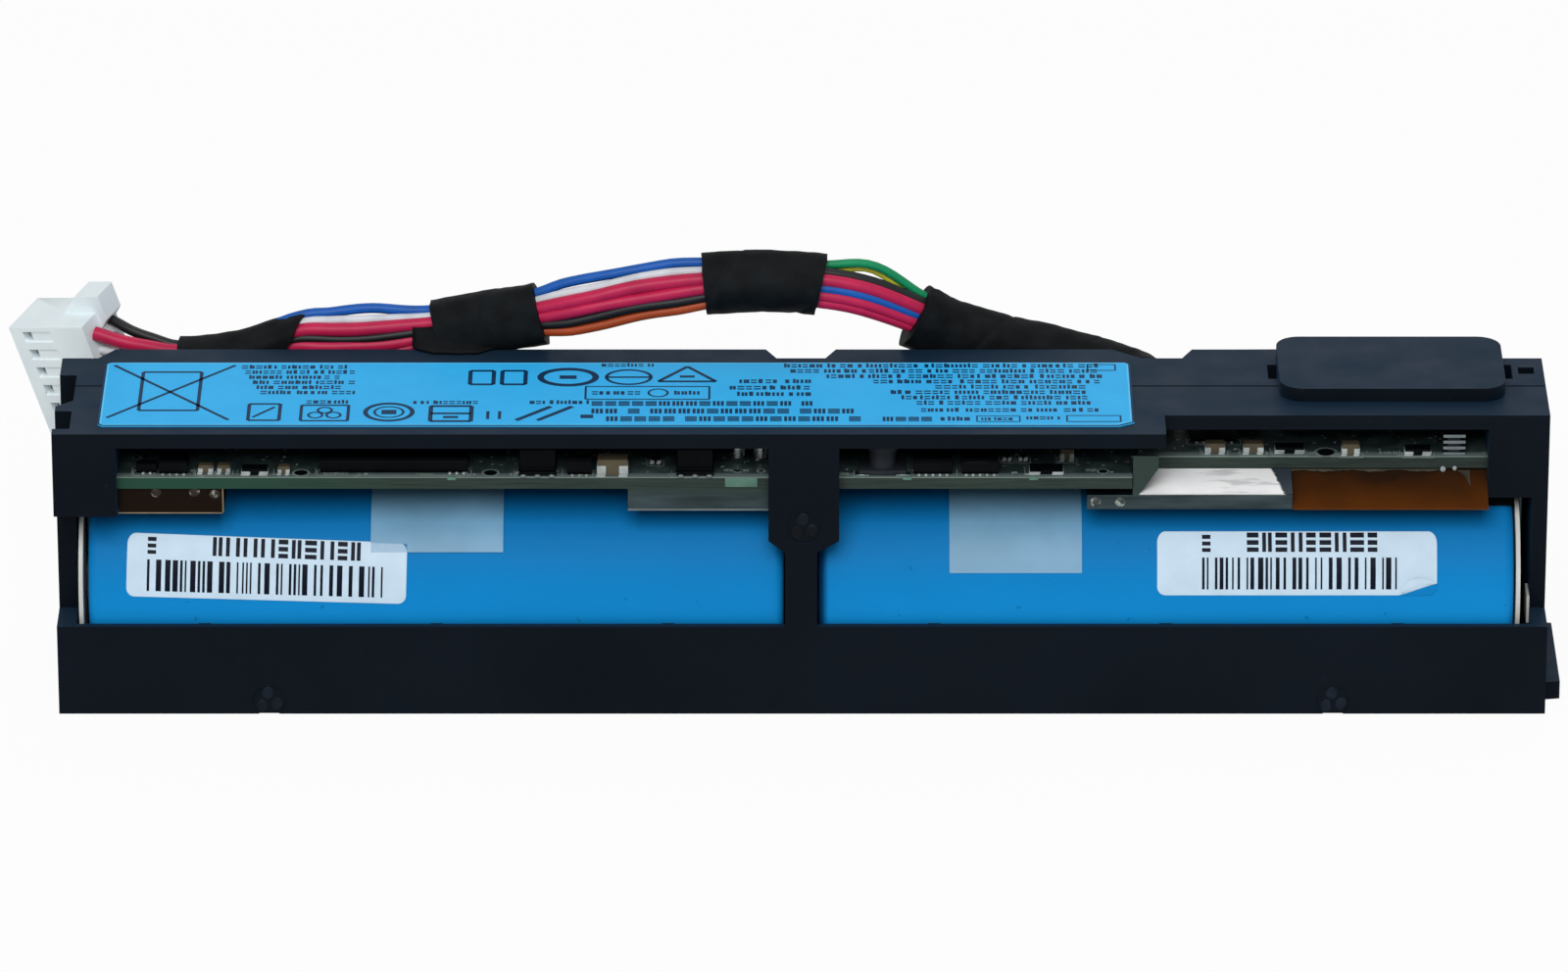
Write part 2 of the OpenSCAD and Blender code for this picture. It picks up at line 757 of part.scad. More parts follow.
module crystal_cans() {
    color("silver") for (x = cans_x) at_part(x, 4.4) rotate_extrude()
        polygon([[0, 0], [0.5, 0], [0.8, 0.3], [0.8, 2.3], [0.6, 2.5], [0, 2.5]]);
}

// Stack of flat contacts at the right end of the board
module pin_stack() {
    color("silver") at_part(pins_x, 5) {
        for (i = [0:3]) translate([-1.05, 0, i * 0.6]) cube([2.1, 2.4, 0.3]);
        translate([-0.6, 0.6, 0]) cube([1.2, 1.6, 1.9]);
    }
}

// A flat dome of solder on the front lip of a strip
module solder_dome(x, z) {
    translate([x, strip_y, block_z + z]) rotate([90, 0, 0]) rotate_extrude()
        intersection() {
            translate([0, -dome_sink]) circle(dome_r, $fn = 48);
            square(dome_r);
        }
}

module solder_joints() {
    color("silver") placed() {
        for (p = solder_left) solder_dome(left_block_x + p.x, p.y);
        for (p = solder_right) solder_dome(right_strip_x + p.x, p.y);
    }
}

// ---- Harness

function unit(v) = v / norm(v);
function along(i) = i == 0 ? plug_dir
    : i == last ? unit(route[last] - route[last - 1])
    : unit(route[i + 1] - route[i - 1]);

// The ring of points round point i of the route, square to it
function ring(i, r) = let (
    t = along(i),
    side = unit(cross(t, [0, 0, 1])),
    up = cross(side, t)
) [for (k = [0:sides - 1]) let (a = 360 * k / sides)
    route[i] + r * (cos(a) * side + sin(a) * up)];

// One tube through points first to end of the route, from radius r0 to r1
module tube(first, end, r0, r1) {
    n = end - first;
    points = [for (i = [0:n]) each ring(first + i, r0 + (r1 - r0) * i / n)];
    walls = [for (i = [0:n - 1], k = [0:sides - 1]) let (
        a = i * sides + k, b = i * sides + (k + 1) % sides
    ) [a, a + sides, b + sides, b]];
    polyhedron(points, concat([[for (k = [0:sides - 1]) k]], walls,
        [[for (k = [0:sides - 1]) n * sides + sides - 1 - k]]), convexity = 4);
}

module wires(i, r0, r1) { color(wire_red) tube(wrap_ends[i][0], wrap_ends[i][1], r0, r1); }
module wrap(i, r0, r1) { color(tape_black) tube(wrap_ends[i][1], wrap_ends[i][2], r0, r1); }

module wires_1() { wires(0, wires_r, wires_r); }
module tape_wrap_1() { wrap(0, wires_r + 0.1, wires_r + 0.2); }
module wires_2() { wires(1, wires_r, wires_r + 0.1); }
module tape_wrap_2() { wrap(1, wires_r + 0.2, wires_r + 0.6); }
module wires_3() { wires(2, wires_r, wires_r); }
module tape_wrap_3() { wrap(2, wires_r + 0.8, wires_r + 0.8); }
module wires_4() { wires(3, wires_r + 0.2, wires_r + 0.2); }
module tape_wrap_4() { wrap(3, wires_r + 0.6, exit_r); }

// The connector's own frame: x towards the wires, z along its row of contacts
module at_plug() {
    translate(plug_place) rotate(plug_turn) children();
}

module connector_housing() {
    top = plug_row_l / 2;
    back = plug_t / 2;
    color("whitesmoke") at_plug() difference() {
        union() {
            block([-plug_l, -back, -top], [0, back, top]);
            along_y(0, back) polygon([[-2.2 * latch_h, top], [-latch_h, top + latch_h],
                [latch_out, top + latch_h], [latch_out, top - latch_out], [0, top - latch_h],
                [-latch_out, top - latch_h]]);
        }
        for (z = contact_z) {
            block([window_in - plug_l, -plug_t, z - window_w / 2],
                [window_in - plug_l + window_w, plug_t, z + window_w / 2]);
            for (y = [-back, back]) block([window_in - plug_l, y - groove_t,
                z - groove_w / 2], [window_in - plug_l + groove_l, y + groove_t,
                z + groove_w / 2]);
        }
    }
}

// Contacts behind the windows of the two rows
module connector_contacts() {
    side = window_w - 2 * contact_clear;
    color("goldenrod") at_plug() for (z = contact_z, y = [-1, 1])
        translate([window_in - plug_l + contact_clear, y * plug_t / 4 - side / 2,
            z - side / 2]) cube([side, side, side]);
}

front_shell();
rear_shell();
left_cell_can();
right_cell_can();
left_cell_sleeve();
right_cell_sleeve();
left_end_disc();
right_end_disc();
left_end_tab();
right_end_tab();
cell_link();
left_nickel_strip();
right_nickel_strip();
silver_foil();
left_film_tape();
right_film_tape();
left_clear_tape();
right_clear_tape();
left_cell_sticker();
right_cell_sticker();
end_tape();
end_pad();
circuit_board();
black_chips();
power_transistors();
ceramic_capacitors();
chip_resistors();
inductor();
crystal_cans();
pin_stack();
solder_joints();
rating_label();
wires_1();
wires_2();
wires_3();
wires_4();
tape_wrap_1();
tape_wrap_2();
tape_wrap_3();
tape_wrap_4();
connector_housing();
connector_contacts();
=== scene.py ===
"""Looks of the battery module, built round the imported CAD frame. Metres, +Z up."""
import math
import random

import bmesh
import bpy
from mathutils import Matrix, Vector, noise


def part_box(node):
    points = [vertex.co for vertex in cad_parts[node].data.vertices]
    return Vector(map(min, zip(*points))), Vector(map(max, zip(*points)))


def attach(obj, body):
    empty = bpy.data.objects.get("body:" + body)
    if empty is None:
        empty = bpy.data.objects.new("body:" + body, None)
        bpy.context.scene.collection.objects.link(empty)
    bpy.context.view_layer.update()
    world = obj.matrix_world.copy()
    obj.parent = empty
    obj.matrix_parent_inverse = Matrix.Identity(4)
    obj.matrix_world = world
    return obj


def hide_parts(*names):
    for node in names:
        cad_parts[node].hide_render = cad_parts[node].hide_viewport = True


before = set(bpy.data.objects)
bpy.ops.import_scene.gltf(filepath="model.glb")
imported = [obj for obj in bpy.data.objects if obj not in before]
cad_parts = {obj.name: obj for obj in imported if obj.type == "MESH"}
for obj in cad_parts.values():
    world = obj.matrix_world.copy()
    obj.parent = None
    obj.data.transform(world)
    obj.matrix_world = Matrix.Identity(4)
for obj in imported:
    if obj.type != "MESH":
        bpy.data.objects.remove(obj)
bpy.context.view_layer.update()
MM = 0.001
BODY = "root"


def mm(*values):
    """A point or size given in millimetres."""
    return Vector(values) * MM


def turns(count):
    """The angles of count equal steps round a circle."""
    return [2 * math.pi * k / count for k in range(count)]


# ---- places from the frame

FRONT_LO, FRONT_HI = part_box("front_shell")
FRAME_TOP, FRAME_BACK = FRONT_HI.z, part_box("rear_shell")[1].y
LABEL_LO, LABEL_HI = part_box("rating_label")
BOARD_LO, BOARD_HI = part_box("circuit_board")
FOIL_LO, FOIL_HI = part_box("silver_foil")
FILM_LO, FILM_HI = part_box("right_film_tape")
LEFT_LO, LEFT_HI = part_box("left_cell_sleeve")
RIGHT_LO, RIGHT_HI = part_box("right_cell_sleeve")
CELL_Y = (LEFT_HI.y + LEFT_LO.y) / 2
CELL_Z = (LEFT_HI.z + LEFT_LO.z) / 2
MID_X = (LEFT_HI.x + RIGHT_LO.x) / 2

# The board's front edge steps back this far at its right end, over this length, in mm
STEP_BACK, STEP_LENGTH = 4.9, 34.5

# ---- camera

ELEVATION = math.radians(24)
DISTANCE = 1.05
SENSOR, LENS = 36, 258.7
AIM = Vector((-0.002485, FRONT_LO.y, 0.02345))


def new_object(name, data):
    o = bpy.data.objects.new(name, data)
    bpy.context.scene.collection.objects.link(o)
    return o


def aimed(name, data, place, aim):
    """A camera or lamp that stands at a place and looks at a point."""
    o = new_object(name, data)
    o.location = place
    o.rotation_euler = (aim - Vector(place)).to_track_quat("-Z", "Y").to_euler()
    return o


def make_camera():
    """Camera at the viewing angle; returns the direction from the object to it."""
    data = bpy.data.cameras.new("camera")
    data.sensor_width, data.lens = SENSOR, LENS
    data.clip_start, data.clip_end = 0.05, 20
    back = Vector((0, -math.cos(ELEVATION), math.sin(ELEVATION)))
    bpy.context.scene.camera = aimed("camera", data, AIM + back * DISTANCE, AIM)
    return back


TO_CAMERA = make_camera()

# ---- materials


class Nodes:
    """A node tree, with short ways to add nodes and join them."""

    def __init__(self, tree):
        self.tree = tree

    def node(self, kind, **values):
        """A new node; each value goes to the socket or the property of its name."""
        made = self.tree.nodes.new(kind)
        for key, value in values.items():
            socket = key.replace("_", " ")
            if socket in made.inputs:
                made.inputs[socket].default_value = value
            else:
                setattr(made, key, value)
        return made

    def link(self, a, b):
        self.tree.links.new(a, b)

    def math(self, operation, a, b=0.0):
        m = self.node("ShaderNodeMath", operation=operation)
        for value, socket in zip((a, b), m.inputs):
            if isinstance(value, (int, float)):
                socket.default_value = value
            else:
                self.link(value, socket)
        return m.outputs[0]


class Finish(Nodes):
    """A principled material that is built up step by step."""

    def __init__(self, name, color, roughness, metallic=0.0, shine=0.5, **sockets):
        self.material = bpy.data.materials.new(name)
        self.material.use_nodes = True
        super().__init__(self.material.node_tree)
        self.bsdf = self.tree.nodes["Principled BSDF"]
        sockets.update(Base_Color=(*color, 1), Roughness=roughness, Metallic=metallic,
                       Specular_IOR_Level=shine)
        for key, value in sockets.items():
            self.bsdf.inputs[key.replace("_", " ")].default_value = value
        self.color = color
        self.coords = self.node("ShaderNodeTexCoord").outputs["Object"]
        self.normal = None

    def moved(self, scale=(1, 1, 1), turn=(0, 0, 0)):
        """The object's coordinates, turned and stretched."""
        m = self.node("ShaderNodeMapping", Scale=scale, Rotation=turn)
        self.link(self.coords, m.inputs["Vector"])
        return m.outputs["Vector"]

    def noise(self, per_mm, detail=3, stretch=None):
        n = self.node("ShaderNodeTexNoise", Scale=per_mm / MM, Detail=detail)
        self.link(self.moved(stretch) if stretch else self.coords, n.inputs["Vector"])
        return n.outputs["Fac"]

    def part(self, vector, axis):
        split = self.node("ShaderNodeSeparateXYZ")
        self.link(vector, split.inputs["Vector"])
        return split.outputs[axis]

    def place(self, axis):
        """The object's coordinate along one axis, in metres."""
        return self.part(self.coords, axis)

    def facing(self, axis):
        """How far the surface faces along one axis, either way."""
        normal = self.node("ShaderNodeNewGeometry").outputs["Normal"]
        return self.math("ABSOLUTE", self.part(normal, axis))

    def ramp(self, source, low, high, out_low=0.0, out_high=1.0):
        """The source's stretch from low to high, drawn out from out_low to out_high."""
        r = self.node("ShaderNodeMapRange", From_Min=low, From_Max=high, To_Min=out_low,
                      To_Max=out_high)
        self.link(source, r.inputs["Value"])
        return r.outputs["Result"]

    def right_half(self):
        """0 on the left half of the part and 1 on its right half."""
        return self.ramp(self.place("X"), 0, 0.01)

    def mix(self, factor, a, b):
        """Colour a where factor is 0 and b where it is 1; either may be a socket."""
        m = self.node("ShaderNodeMix", data_type="RGBA")
        self.link(factor, m.inputs["Factor"])
        for value, socket in ((a, m.inputs[6]), (b, m.inputs[7])):
            if isinstance(value, tuple):
                socket.default_value = (*value, 1)
            else:
                self.link(value, socket)
        return m.outputs[2]

    def paint(self, color):
        self.link(color, self.bsdf.inputs["Base Color"])

    def cloud(self, per_mm, amount, stretch=None):
        """Lighter and darker cloudy patches of the material's own colour."""
        n = self.noise(per_mm, 4, stretch)
        dark = tuple(c * (1 - amount) for c in self.color)
        light = tuple(min(1, c * (1 + amount)) for c in self.color)
        return self.mix(self.ramp(n, 0.35, 0.65), dark, light)

    def gloss(self, per_mm, low, high, stretch=None):
        """Roughness that wanders between two values."""
        n = self.noise(per_mm, 4, stretch)
        self.link(self.ramp(n, 0.3, 0.7, low, high), self.bsdf.inputs["Roughness"])

    def bump(self, source, height_mm, strength=1.0):
        b = self.node("ShaderNodeBump", Strength=strength, Distance=height_mm * MM)
        self.link(source, b.inputs["Height"])
        if self.normal:
            self.link(self.normal, b.inputs["Normal"])
        self.normal = b.outputs["Normal"]
        self.link(self.normal, self.bsdf.inputs["Normal"])
        return self


# How far the right sticker's folded corner reaches along it and up it, in millimetres
CURL = (3.5, 1.15)
# The left sticker's turn in the view, down towards the right
STICKER_TILT = math.radians(1.7)


def make_plastic():
    """Fine-grained black moulding with specks of dust, and a painted highlight of lighter blue
    on its upward faces.
    """
    f = Finish("frame_plastic", (0.0034, 0.0052, 0.0082), 0.5, shine=0.045,
               Sheen_Weight=0.05, Sheen_Roughness=0.6, Sheen_Tint=(0.16, 0.5, 1, 1))
    dust = f.ramp(f.noise(1.3, 5), 0.68, 0.75, 0, 0.35)
    color = f.mix(dust, f.cloud(0.06, 0.2), (0.014, 0.02, 0.028))
    # painted highlight: faces that look up are mixed to a lighter blue, as if lit from above
    up = f.ramp(f.facing("Z"), 0.75, 0.98)
    f.paint(f.mix(up, color, (0.0075, 0.0168, 0.031)))
    f.gloss(0.25, 0.42, 0.58)
    f.bump(f.noise(4.5, 2), 0.012, 0.5)
    return f.bump(f.noise(0.4, 3), 0.02, 0.2).material


def make_sleeve():
    """Blue shrink film, drawn a little uneven round the can."""
    f = Finish("sleeve_film", (0.0065, 0.298, 0.74), 0.5, shine=0.05)
    # painted shade: deeper blue towards the top of the cell, where the board above shades it
    top_shade = f.ramp(f.place("Z"), CELL_Z - 3 * MM, CELL_Z + 7.5 * MM, 0, 0.64)
    color = f.mix(top_shade, f.cloud(0.05, 0.05), (0.0015, 0.09, 0.27))
    specks = f.ramp(f.noise(0.9, 2), 0.735, 0.75, 0, 0.5)
    color = f.mix(specks, color, (0.002, 0.1, 0.26))
    # painted shade over the right cell's inner shoulder, where the film turns away into the gap
    inner = f.math("ABSOLUTE", f.math("SUBTRACT", f.place("X"), RIGHT_LO.x))
    shoulder_shade = f.ramp(inner, 0.4 * MM, 1 * MM, 0.85, 0)
    f.paint(f.mix(shoulder_shade, color, (0.0008, 0.022, 0.09)))
    f.bump(f.noise(0.1, 3, (0.3, 1, 1)), 0.05, 0.4)
    return f.bump(f.noise(2.2, 2), 0.004, 0.3).material


def make_metal(name, color, roughness, scratch=0.25):
    f = Finish(name, color, roughness, 1.0)
    f.paint(f.cloud(0.35, 0.15))
    f.gloss(0.8, roughness * 0.7, roughness * 1.4, (1, 6, 6))
    return f.bump(f.noise(1.6, 4, (0.4, 3, 3)), 0.02, scratch).material


def make_paint(name, color, roughness, amount=0.08, grain=3.0, shine=0.06):
    """Plain coloured stuff with faint clouds and grain."""
    f = Finish(name, color, roughness, shine=shine)
    f.paint(f.cloud(0.4, amount))
    return f.bump(f.noise(grain, 2), 0.008, 0.3).material


def make_nickel():
    """Dull strip that turns grey-green towards the top of its lug."""
    f = Finish("nickel", (0.04, 0.058, 0.064), 0.45, 1.0)
    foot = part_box("right_nickel_strip")[0].z
    tarnish = f.ramp(f.place("Z"), foot + 1.2 * MM, foot + 2 * MM)
    f.paint(f.mix(tarnish, f.cloud(0.5, 0.3, (0.3, 1, 2)), (0.036, 0.056, 0.05)))
    f.gloss(0.8, 0.3, 0.55, (1, 6, 6))
    return f.bump(f.noise(1.1, 4, (0.4, 2, 3)), 0.05, 0.4).material


def make_amber():
    """Heat-proof film with painted shade: darker towards its top under the board, and darker
    still on the left half, which lies in shadow.
    """
    f = Finish("amber_film", (0.05, 0.015, 0.004), 0.35, shine=0.05)
    wave = f.math("MULTIPLY", f.noise(0.25, 4), 2 * MM)
    rise = f.math("ADD", f.place("Z"), wave)
    # painted shade: paler amber at the film's lower edge, dark where it meets the board
    film = f.mix(f.ramp(rise, FILM_LO.z + MM, FILM_HI.z + MM), (0.1, 0.029, 0.004),
                 (0.022, 0.01, 0.005))
    # painted shade: the left half is dark all over
    f.paint(f.mix(f.right_half(), (0.009, 0.0042, 0.002), film))
    return f.bump(f.noise(0.5, 4), 0.06, 0.5).material


def make_flecks():
    """Dark joints, film-brown on the left and strip-grey on the right, with pale flecks that
    are painted glints on the solder.
    """
    f = Finish("solder_flecks", (0.02, 0.012, 0.006), 0.35, shine=0.2)
    side = f.right_half()
    under = f.mix(side, f.color, (0.04, 0.052, 0.047))
    # painted glints: pale flecks placed by noise, a few more on the right half
    glint = f.math("ADD", f.noise(1.7, 3), f.math("MULTIPLY", side, 0.08))
    f.paint(f.mix(f.ramp(glint, 0.55, 0.64), under, (0.34, 0.36, 0.33)))
    return f.bump(f.noise(2.5, 3), 0.06, 0.6).material


def make_curled_sticker():
    """Sticker film whose lower right corner is folded away, so the sleeve shows."""
    lo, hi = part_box("right_cell_sticker")
    f = Finish("curled_sticker", (0.6, 0.76, 0.9), 0.45, shine=0.06)
    across = f.math("DIVIDE", f.math("SUBTRACT", hi.x, f.place("X")), CURL[0] * MM)
    up = f.math("DIVIDE", f.math("SUBTRACT", f.place("Z"), lo.z), CURL[1] * MM)
    gone = f.math("LESS_THAN", f.math("ADD", across, up), 1.0)
    f.paint(f.mix(gone, f.cloud(0.4, 0.04), (0.004, 0.22, 0.56)))
    return f.bump(f.noise(3.0, 2), 0.008, 0.3).material


def make_cloth_tape():
    """Woven tape: two crossed sets of threads under a cloudy black."""
    f = Finish("cloth_tape", (0.0052, 0.0064, 0.0074), 0.6, shine=0.06)
    f.paint(f.cloud(0.5, 0.35))
    for turn in (0.6, -0.9):
        w = f.node("ShaderNodeTexWave", Scale=2.6 / MM, Distortion=1.2, Detail=1)
        f.link(f.moved(turn=(0, turn, turn)), w.inputs["Vector"])
        f.bump(w.outputs["Fac"], 0.025, 0.3)
    return f.bump(f.noise(0.7, 4), 0.14, 0.5).material


def make_board():
    """Solder mask on top, a sawn fibrous edge that is greener at the left end."""
    f = Finish("board", (0.02, 0.05, 0.03), 0.4, shine=0.1)
    fibre = f.ramp(f.noise(0.8, 4, (0.25, 1, 6)), 0.3, 0.7)
    edge = f.mix(fibre, (0.019, 0.03, 0.026), (0.038, 0.055, 0.046))
    ends = f.ramp(f.place("X"), BOARD_LO.x + 8 * MM, BOARD_LO.x + 30 * MM, 1, 0)
    edge = f.mix(ends, edge, (0.018, 0.066, 0.042))
    rim = f.ramp(f.place("Z"), BOARD_HI.z - 0.12 * MM, BOARD_HI.z - 0.05 * MM)
    edge = f.mix(rim, edge, (0.2, 0.27, 0.24))
    mask = f.mix(f.ramp(f.noise(0.5, 3), 0.4, 0.6), (0.026, 0.044, 0.044),
                 (0.06, 0.09, 0.088))
    # painted light: a pale strip along the stepped front edge, lit where the rest of the board
    # lies in shade
    stepped = f.math("GREATER_THAN", f.place("X"), FOIL_LO.x)
    front = f.math("ADD", BOARD_LO.y, f.math("MULTIPLY", stepped, STEP_BACK * MM))
    deep = f.math("SUBTRACT", f.place("Y"), front)
    mask = f.mix(f.ramp(deep, 0.6 * MM, 1 * MM, 1, 0), mask, (0.13, 0.17, 0.165))
    spots = f.node("ShaderNodeTexVoronoi", Scale=0.75 / MM)
    f.link(f.coords, spots.inputs["Vector"])
    dots = f.ramp(spots.outputs["Distance"], 0.12, 0.18, 0.5, 0)
    mask = f.mix(dots, mask, (0.3, 0.36, 0.34))
    f.paint(f.mix(f.ramp(f.facing("Z"), 0.6, 0.8), edge, mask))
    return f.bump(f.noise(1.4, 4, (0.3, 1, 4)), 0.02, 0.3).material


def make_foil():
    """Bright scratched foil, with a painted reflection of the dark board along its right end.
    """
    f = Finish("foil", (0.97, 0.985, 1.0), 0.35, 0.2, shine=0.3)
    # the painted reflection's border leans 1.2 mm over the foil's height, and waves
    lean = 1.2 * MM / (FOIL_HI.z - FOIL_LO.z)
    slope = f.math("ADD", f.place("X"), f.math("MULTIPLY", f.place("Z"), lean))
    wave = f.math("MULTIPLY", f.noise(0.9, 3), 0.6 * MM)
    end = FOIL_HI.x + lean * FOIL_LO.z
    dark = f.ramp(f.math("ADD", slope, wave), end - 0.4 * MM, end - 0.2 * MM)
    scratch = f.ramp(f.noise(0.8, 5, (0.2, 1.2, 1.2)), 0.59, 0.66, 0, 0.45)
    color = f.mix(scratch, f.cloud(0.3, 0.06), (0.3, 0.32, 0.34))
    # painted reflection: the right end is dark
    f.paint(f.mix(dark, color, (0.03, 0.042, 0.055)))
    # it is pulled flat, so it shades as one surface that faces up and forward
    f.normal = f.node("ShaderNodeCombineXYZ", X=0.0, Y=-0.5, Z=0.87).outputs["Vector"]
    return f.bump(f.noise(0.3, 4), 0.1, 0.35).material


def make_clear_tape():
    """Tape that the sleeve shows through, with painted shade: paler in its lower half, darker
    towards the top.
    """
    f = Finish("clear_tape", (0.2, 0.42, 0.62), 0.3, shine=0.12)
    # painted shade, as on the sleeve beneath: the tape darkens towards the top
    lower = f.ramp(f.place("Z"), CELL_Z + 7 * MM, CELL_Z + 3 * MM, 0, 0.5)
    f.paint(f.mix(lower, f.cloud(0.15, 0.1), (0.36, 0.58, 0.76)))
    # where it lies on the left sticker it hardly shows
    lo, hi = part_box("left_cell_sticker")
    fall = f.math("MULTIPLY", f.math("SUBTRACT", f.place("X"), lo.x), STICKER_TILT)
    below = f.math("LESS_THAN", f.math("ADD", f.place("Z"), fall), hi.z)
    on = f.math("MULTIPLY", below, f.math("LESS_THAN", f.place("X"), hi.x))
    f.link(f.ramp(on, 0, 1, 0.8, 0.15), f.bsdf.inputs["Alpha"])
    return f.bump(f.noise(0.2, 3), 0.04, 0.3).material

PLASTIC = make_plastic()
SLEEVE = make_sleeve()
NICKEL = make_nickel()
STEEL = make_metal("cell_steel", (0.45, 0.46, 0.47), 0.3)
TINNED = make_metal("tinned_metal", (0.55, 0.57, 0.58), 0.25, 0.1)
PINS = make_metal("pin_metal", (0.16, 0.19, 0.2), 0.35)
BRASS = make_metal("contact_brass", (0.3, 0.3, 0.28), 0.35)
FOIL = make_foil()
AMBER = make_amber()
CLOTH = make_cloth_tape()
BOARD = make_board()
CLEAR = make_clear_tape()
WHITE = make_paint("disc_paper", (0.62, 0.63, 0.6), 0.7, 0.06)
NYLON = make_paint("connector_nylon", (0.87, 0.96, 1.0), 0.5, 0.02, 2.0, 0.2)
STICKER = make_paint("sticker_film", (0.6, 0.76, 0.9), 0.45, 0.04, shine=0.1)
CURLED = make_curled_sticker()
LABEL = make_paint("label_film", (0.036, 0.5, 1.0), 0.42, 0.03, shine=0.08)
CHIP = make_paint("chip_black", (0.0025, 0.0032, 0.004), 0.4, 0.2, shine=0.04)
CERAMIC = make_paint("ceramic", (0.1, 0.085, 0.055), 0.45, 0.15)
CORE = make_paint("ferrite", (0.02, 0.024, 0.03), 0.45, 0.2)
NAVY = make_paint("print_navy", (0.0005, 0.028, 0.085), 0.4, 0.1)
EDGE_BLUE = make_paint("print_blue", (0.001, 0.03, 0.11), 0.4, 0.1)
PALE = make_paint("print_pale", (0.13, 0.64, 1.0), 0.4, 0.05)
INK = make_paint("print_black", (0.003, 0.0055, 0.014), 0.4, 0.1)
FLECKS = make_flecks()
SOLDER = make_paint("solder", (0.42, 0.46, 0.46), 0.4, 0.3, 1.5)
SILK = make_paint("board_silk", (0.24, 0.3, 0.28), 0.5, 0.2)
MINT = make_paint("board_mint", (0.1, 0.2, 0.155), 0.5, 0.2)
# painted highlight colour for the left film's edge
EDGE_HIGHLIGHT = make_paint("film_edge", (0.3, 0.24, 0.15), 0.4, 0.2)
GREY_FILM = make_paint("grey_film", (0.06, 0.055, 0.042), 0.4, 0.4)
# painted highlight on the ejector marks' lobes
MARK_HIGHLIGHT = make_paint("ejector_highlight", (0.0048, 0.0088, 0.0155), 0.45, 0.7, 1.2, 0.1)

WIRE_COLORS = {
    "red": (0.52, 0.014, 0.075), "blue": (0.008, 0.1, 0.42), "white": (0.66, 0.68, 0.72),
    "black": (0.009, 0.01, 0.011), "green": (0.004, 0.26, 0.1),
    "yellow": (0.62, 0.62, 0.05), "brown": (0.4, 0.06, 0.012), "grey": (0.22, 0.23, 0.24)}
WIRES = {key: make_paint("wire_" + key, color, 0.4, 0.1, 1.5, 0.22)
         for key, color in WIRE_COLORS.items()}

# ---- mesh helpers


# Points of a CAD mesh that are closer than this are one corner
WELD = 0.002 * MM


def piece(name, builder, materials, angle=35):
    """A new piece of the object: the builder's mesh, riding on the body."""
    mesh = builder.mesh(name)
    o = new_object(name, mesh)
    for m in materials:
        mesh.materials.append(m)
    mesh.shade_smooth()
    mesh.set_sharp_from_angle(angle=math.radians(angle))
    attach(o, BODY)
    return o


class Builder:
    """Collects vertices and faces for one mesh."""

    def __init__(self):
        self.verts, self.faces, self.index = [], [], []

    def box(self, lo, hi, material=0, place=None):
        """A box between two corners; place turns each corner into a point."""
        n = len(self.verts)
        corners = [(x, y, z) for x in (lo[0], hi[0]) for y in (lo[1], hi[1])
                   for z in (lo[2], hi[2])]
        self.verts += [tuple(place(*c)) if place else c for c in corners]
        for f in ((0, 1, 3, 2), (4, 6, 7, 5), (0, 4, 5, 1), (2, 3, 7, 6), (0, 2, 6, 4),
                  (1, 5, 7, 3)):
            self.faces.append([n + i for i in f])
            self.index.append(material)

    def grid(self, rows, closed=False, material=0, caps=False):
        """Rows of points joined into a sheet; closed joins each row's ends."""
        n, width = len(self.verts), len(rows[0])
        for row in rows:
            self.verts += [tuple(p) for p in row]
        for i in range(len(rows) - 1):
            for k in range(width if closed else width - 1):
                a, b = n + i * width + k, n + i * width + (k + 1) % width
                self.faces.append([a, b, b + width, a + width])
                self.index.append(material)
        if caps:
            last = n + (len(rows) - 1) * width
            self.faces += [[n + k for k in reversed(range(width))],
                           [last + k for k in range(width)]]
            self.index += [material, material]

    def tube(self, points, radius, sides=10, material=0):
        """A round rod along points."""
        rows = []
        for i, p in enumerate(points):
            t = (points[min(i + 1, len(points) - 1)] - points[max(i - 1, 0)]).normalized()
            side = t.cross(Vector((0, 0.1, 1))).normalized()
            up = side.cross(t)
            rows.append([p + (side * math.cos(q) + up * math.sin(q)) * radius
                         for q in turns(sides)])
        self.grid(rows, closed=True, material=material, caps=True)

    def mesh(self, name):
        m = bpy.data.meshes.new(name)
        m.from_pydata([tuple(v) for v in self.verts], [], self.faces)
        m.polygons.foreach_set("material_index", self.index)
        m.update()
        b = bmesh.new()
        b.from_mesh(m)
        bmesh.ops.recalc_face_normals(b, faces=b.faces)
        b.to_mesh(m)
        b.free()
        return m


def bevel(o, width_mm, segments=2):
    """Rounds a piece's edges; a CAD node is welded first, because its faces are apart."""
    o.modifiers.new("weld", "WELD").merge_threshold = WELD
    b = o.modifiers.new("bevel", "BEVEL")
    b.width, b.segments = width_mm * MM, segments
    b.limit_method, b.angle_limit = "ANGLE", math.radians(40)


def dress(node, material, edge):
    """Gives a CAD node its material and, where edge isn't 0, rounded edges."""
    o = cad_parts[node]
    o.data.materials.clear()
    o.data.materials.append(material)
    for p in o.data.polygons:
        p.material_index = 0
    if edge:
        bevel(o, edge)


def solids(node):
    """The (lowest, highest) corners of each separate solid in a CAD node."""
    b = bmesh.new()
    b.from_mesh(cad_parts[node].data)
    bmesh.ops.remove_doubles(b, verts=b.verts, dist=WELD)
    left, found = set(b.verts), []
    while left:
        todo, island = [left.pop()], []
        while todo:
            v = todo.pop()
            island.append(v.co.copy())
            for e in v.link_edges:
                w = e.other_vert(v)
                if w in left:
                    left.remove(w)
                    todo.append(w)
        found.append((Vector(min(p[i] for p in island) for i in range(3)),
                      Vector(max(p[i] for p in island) for i in range(3))))
    b.free()
    return sorted(found, key=lambda s: tuple(s[0]))


def middle(points):
    return sum(points, Vector()) / len(points)


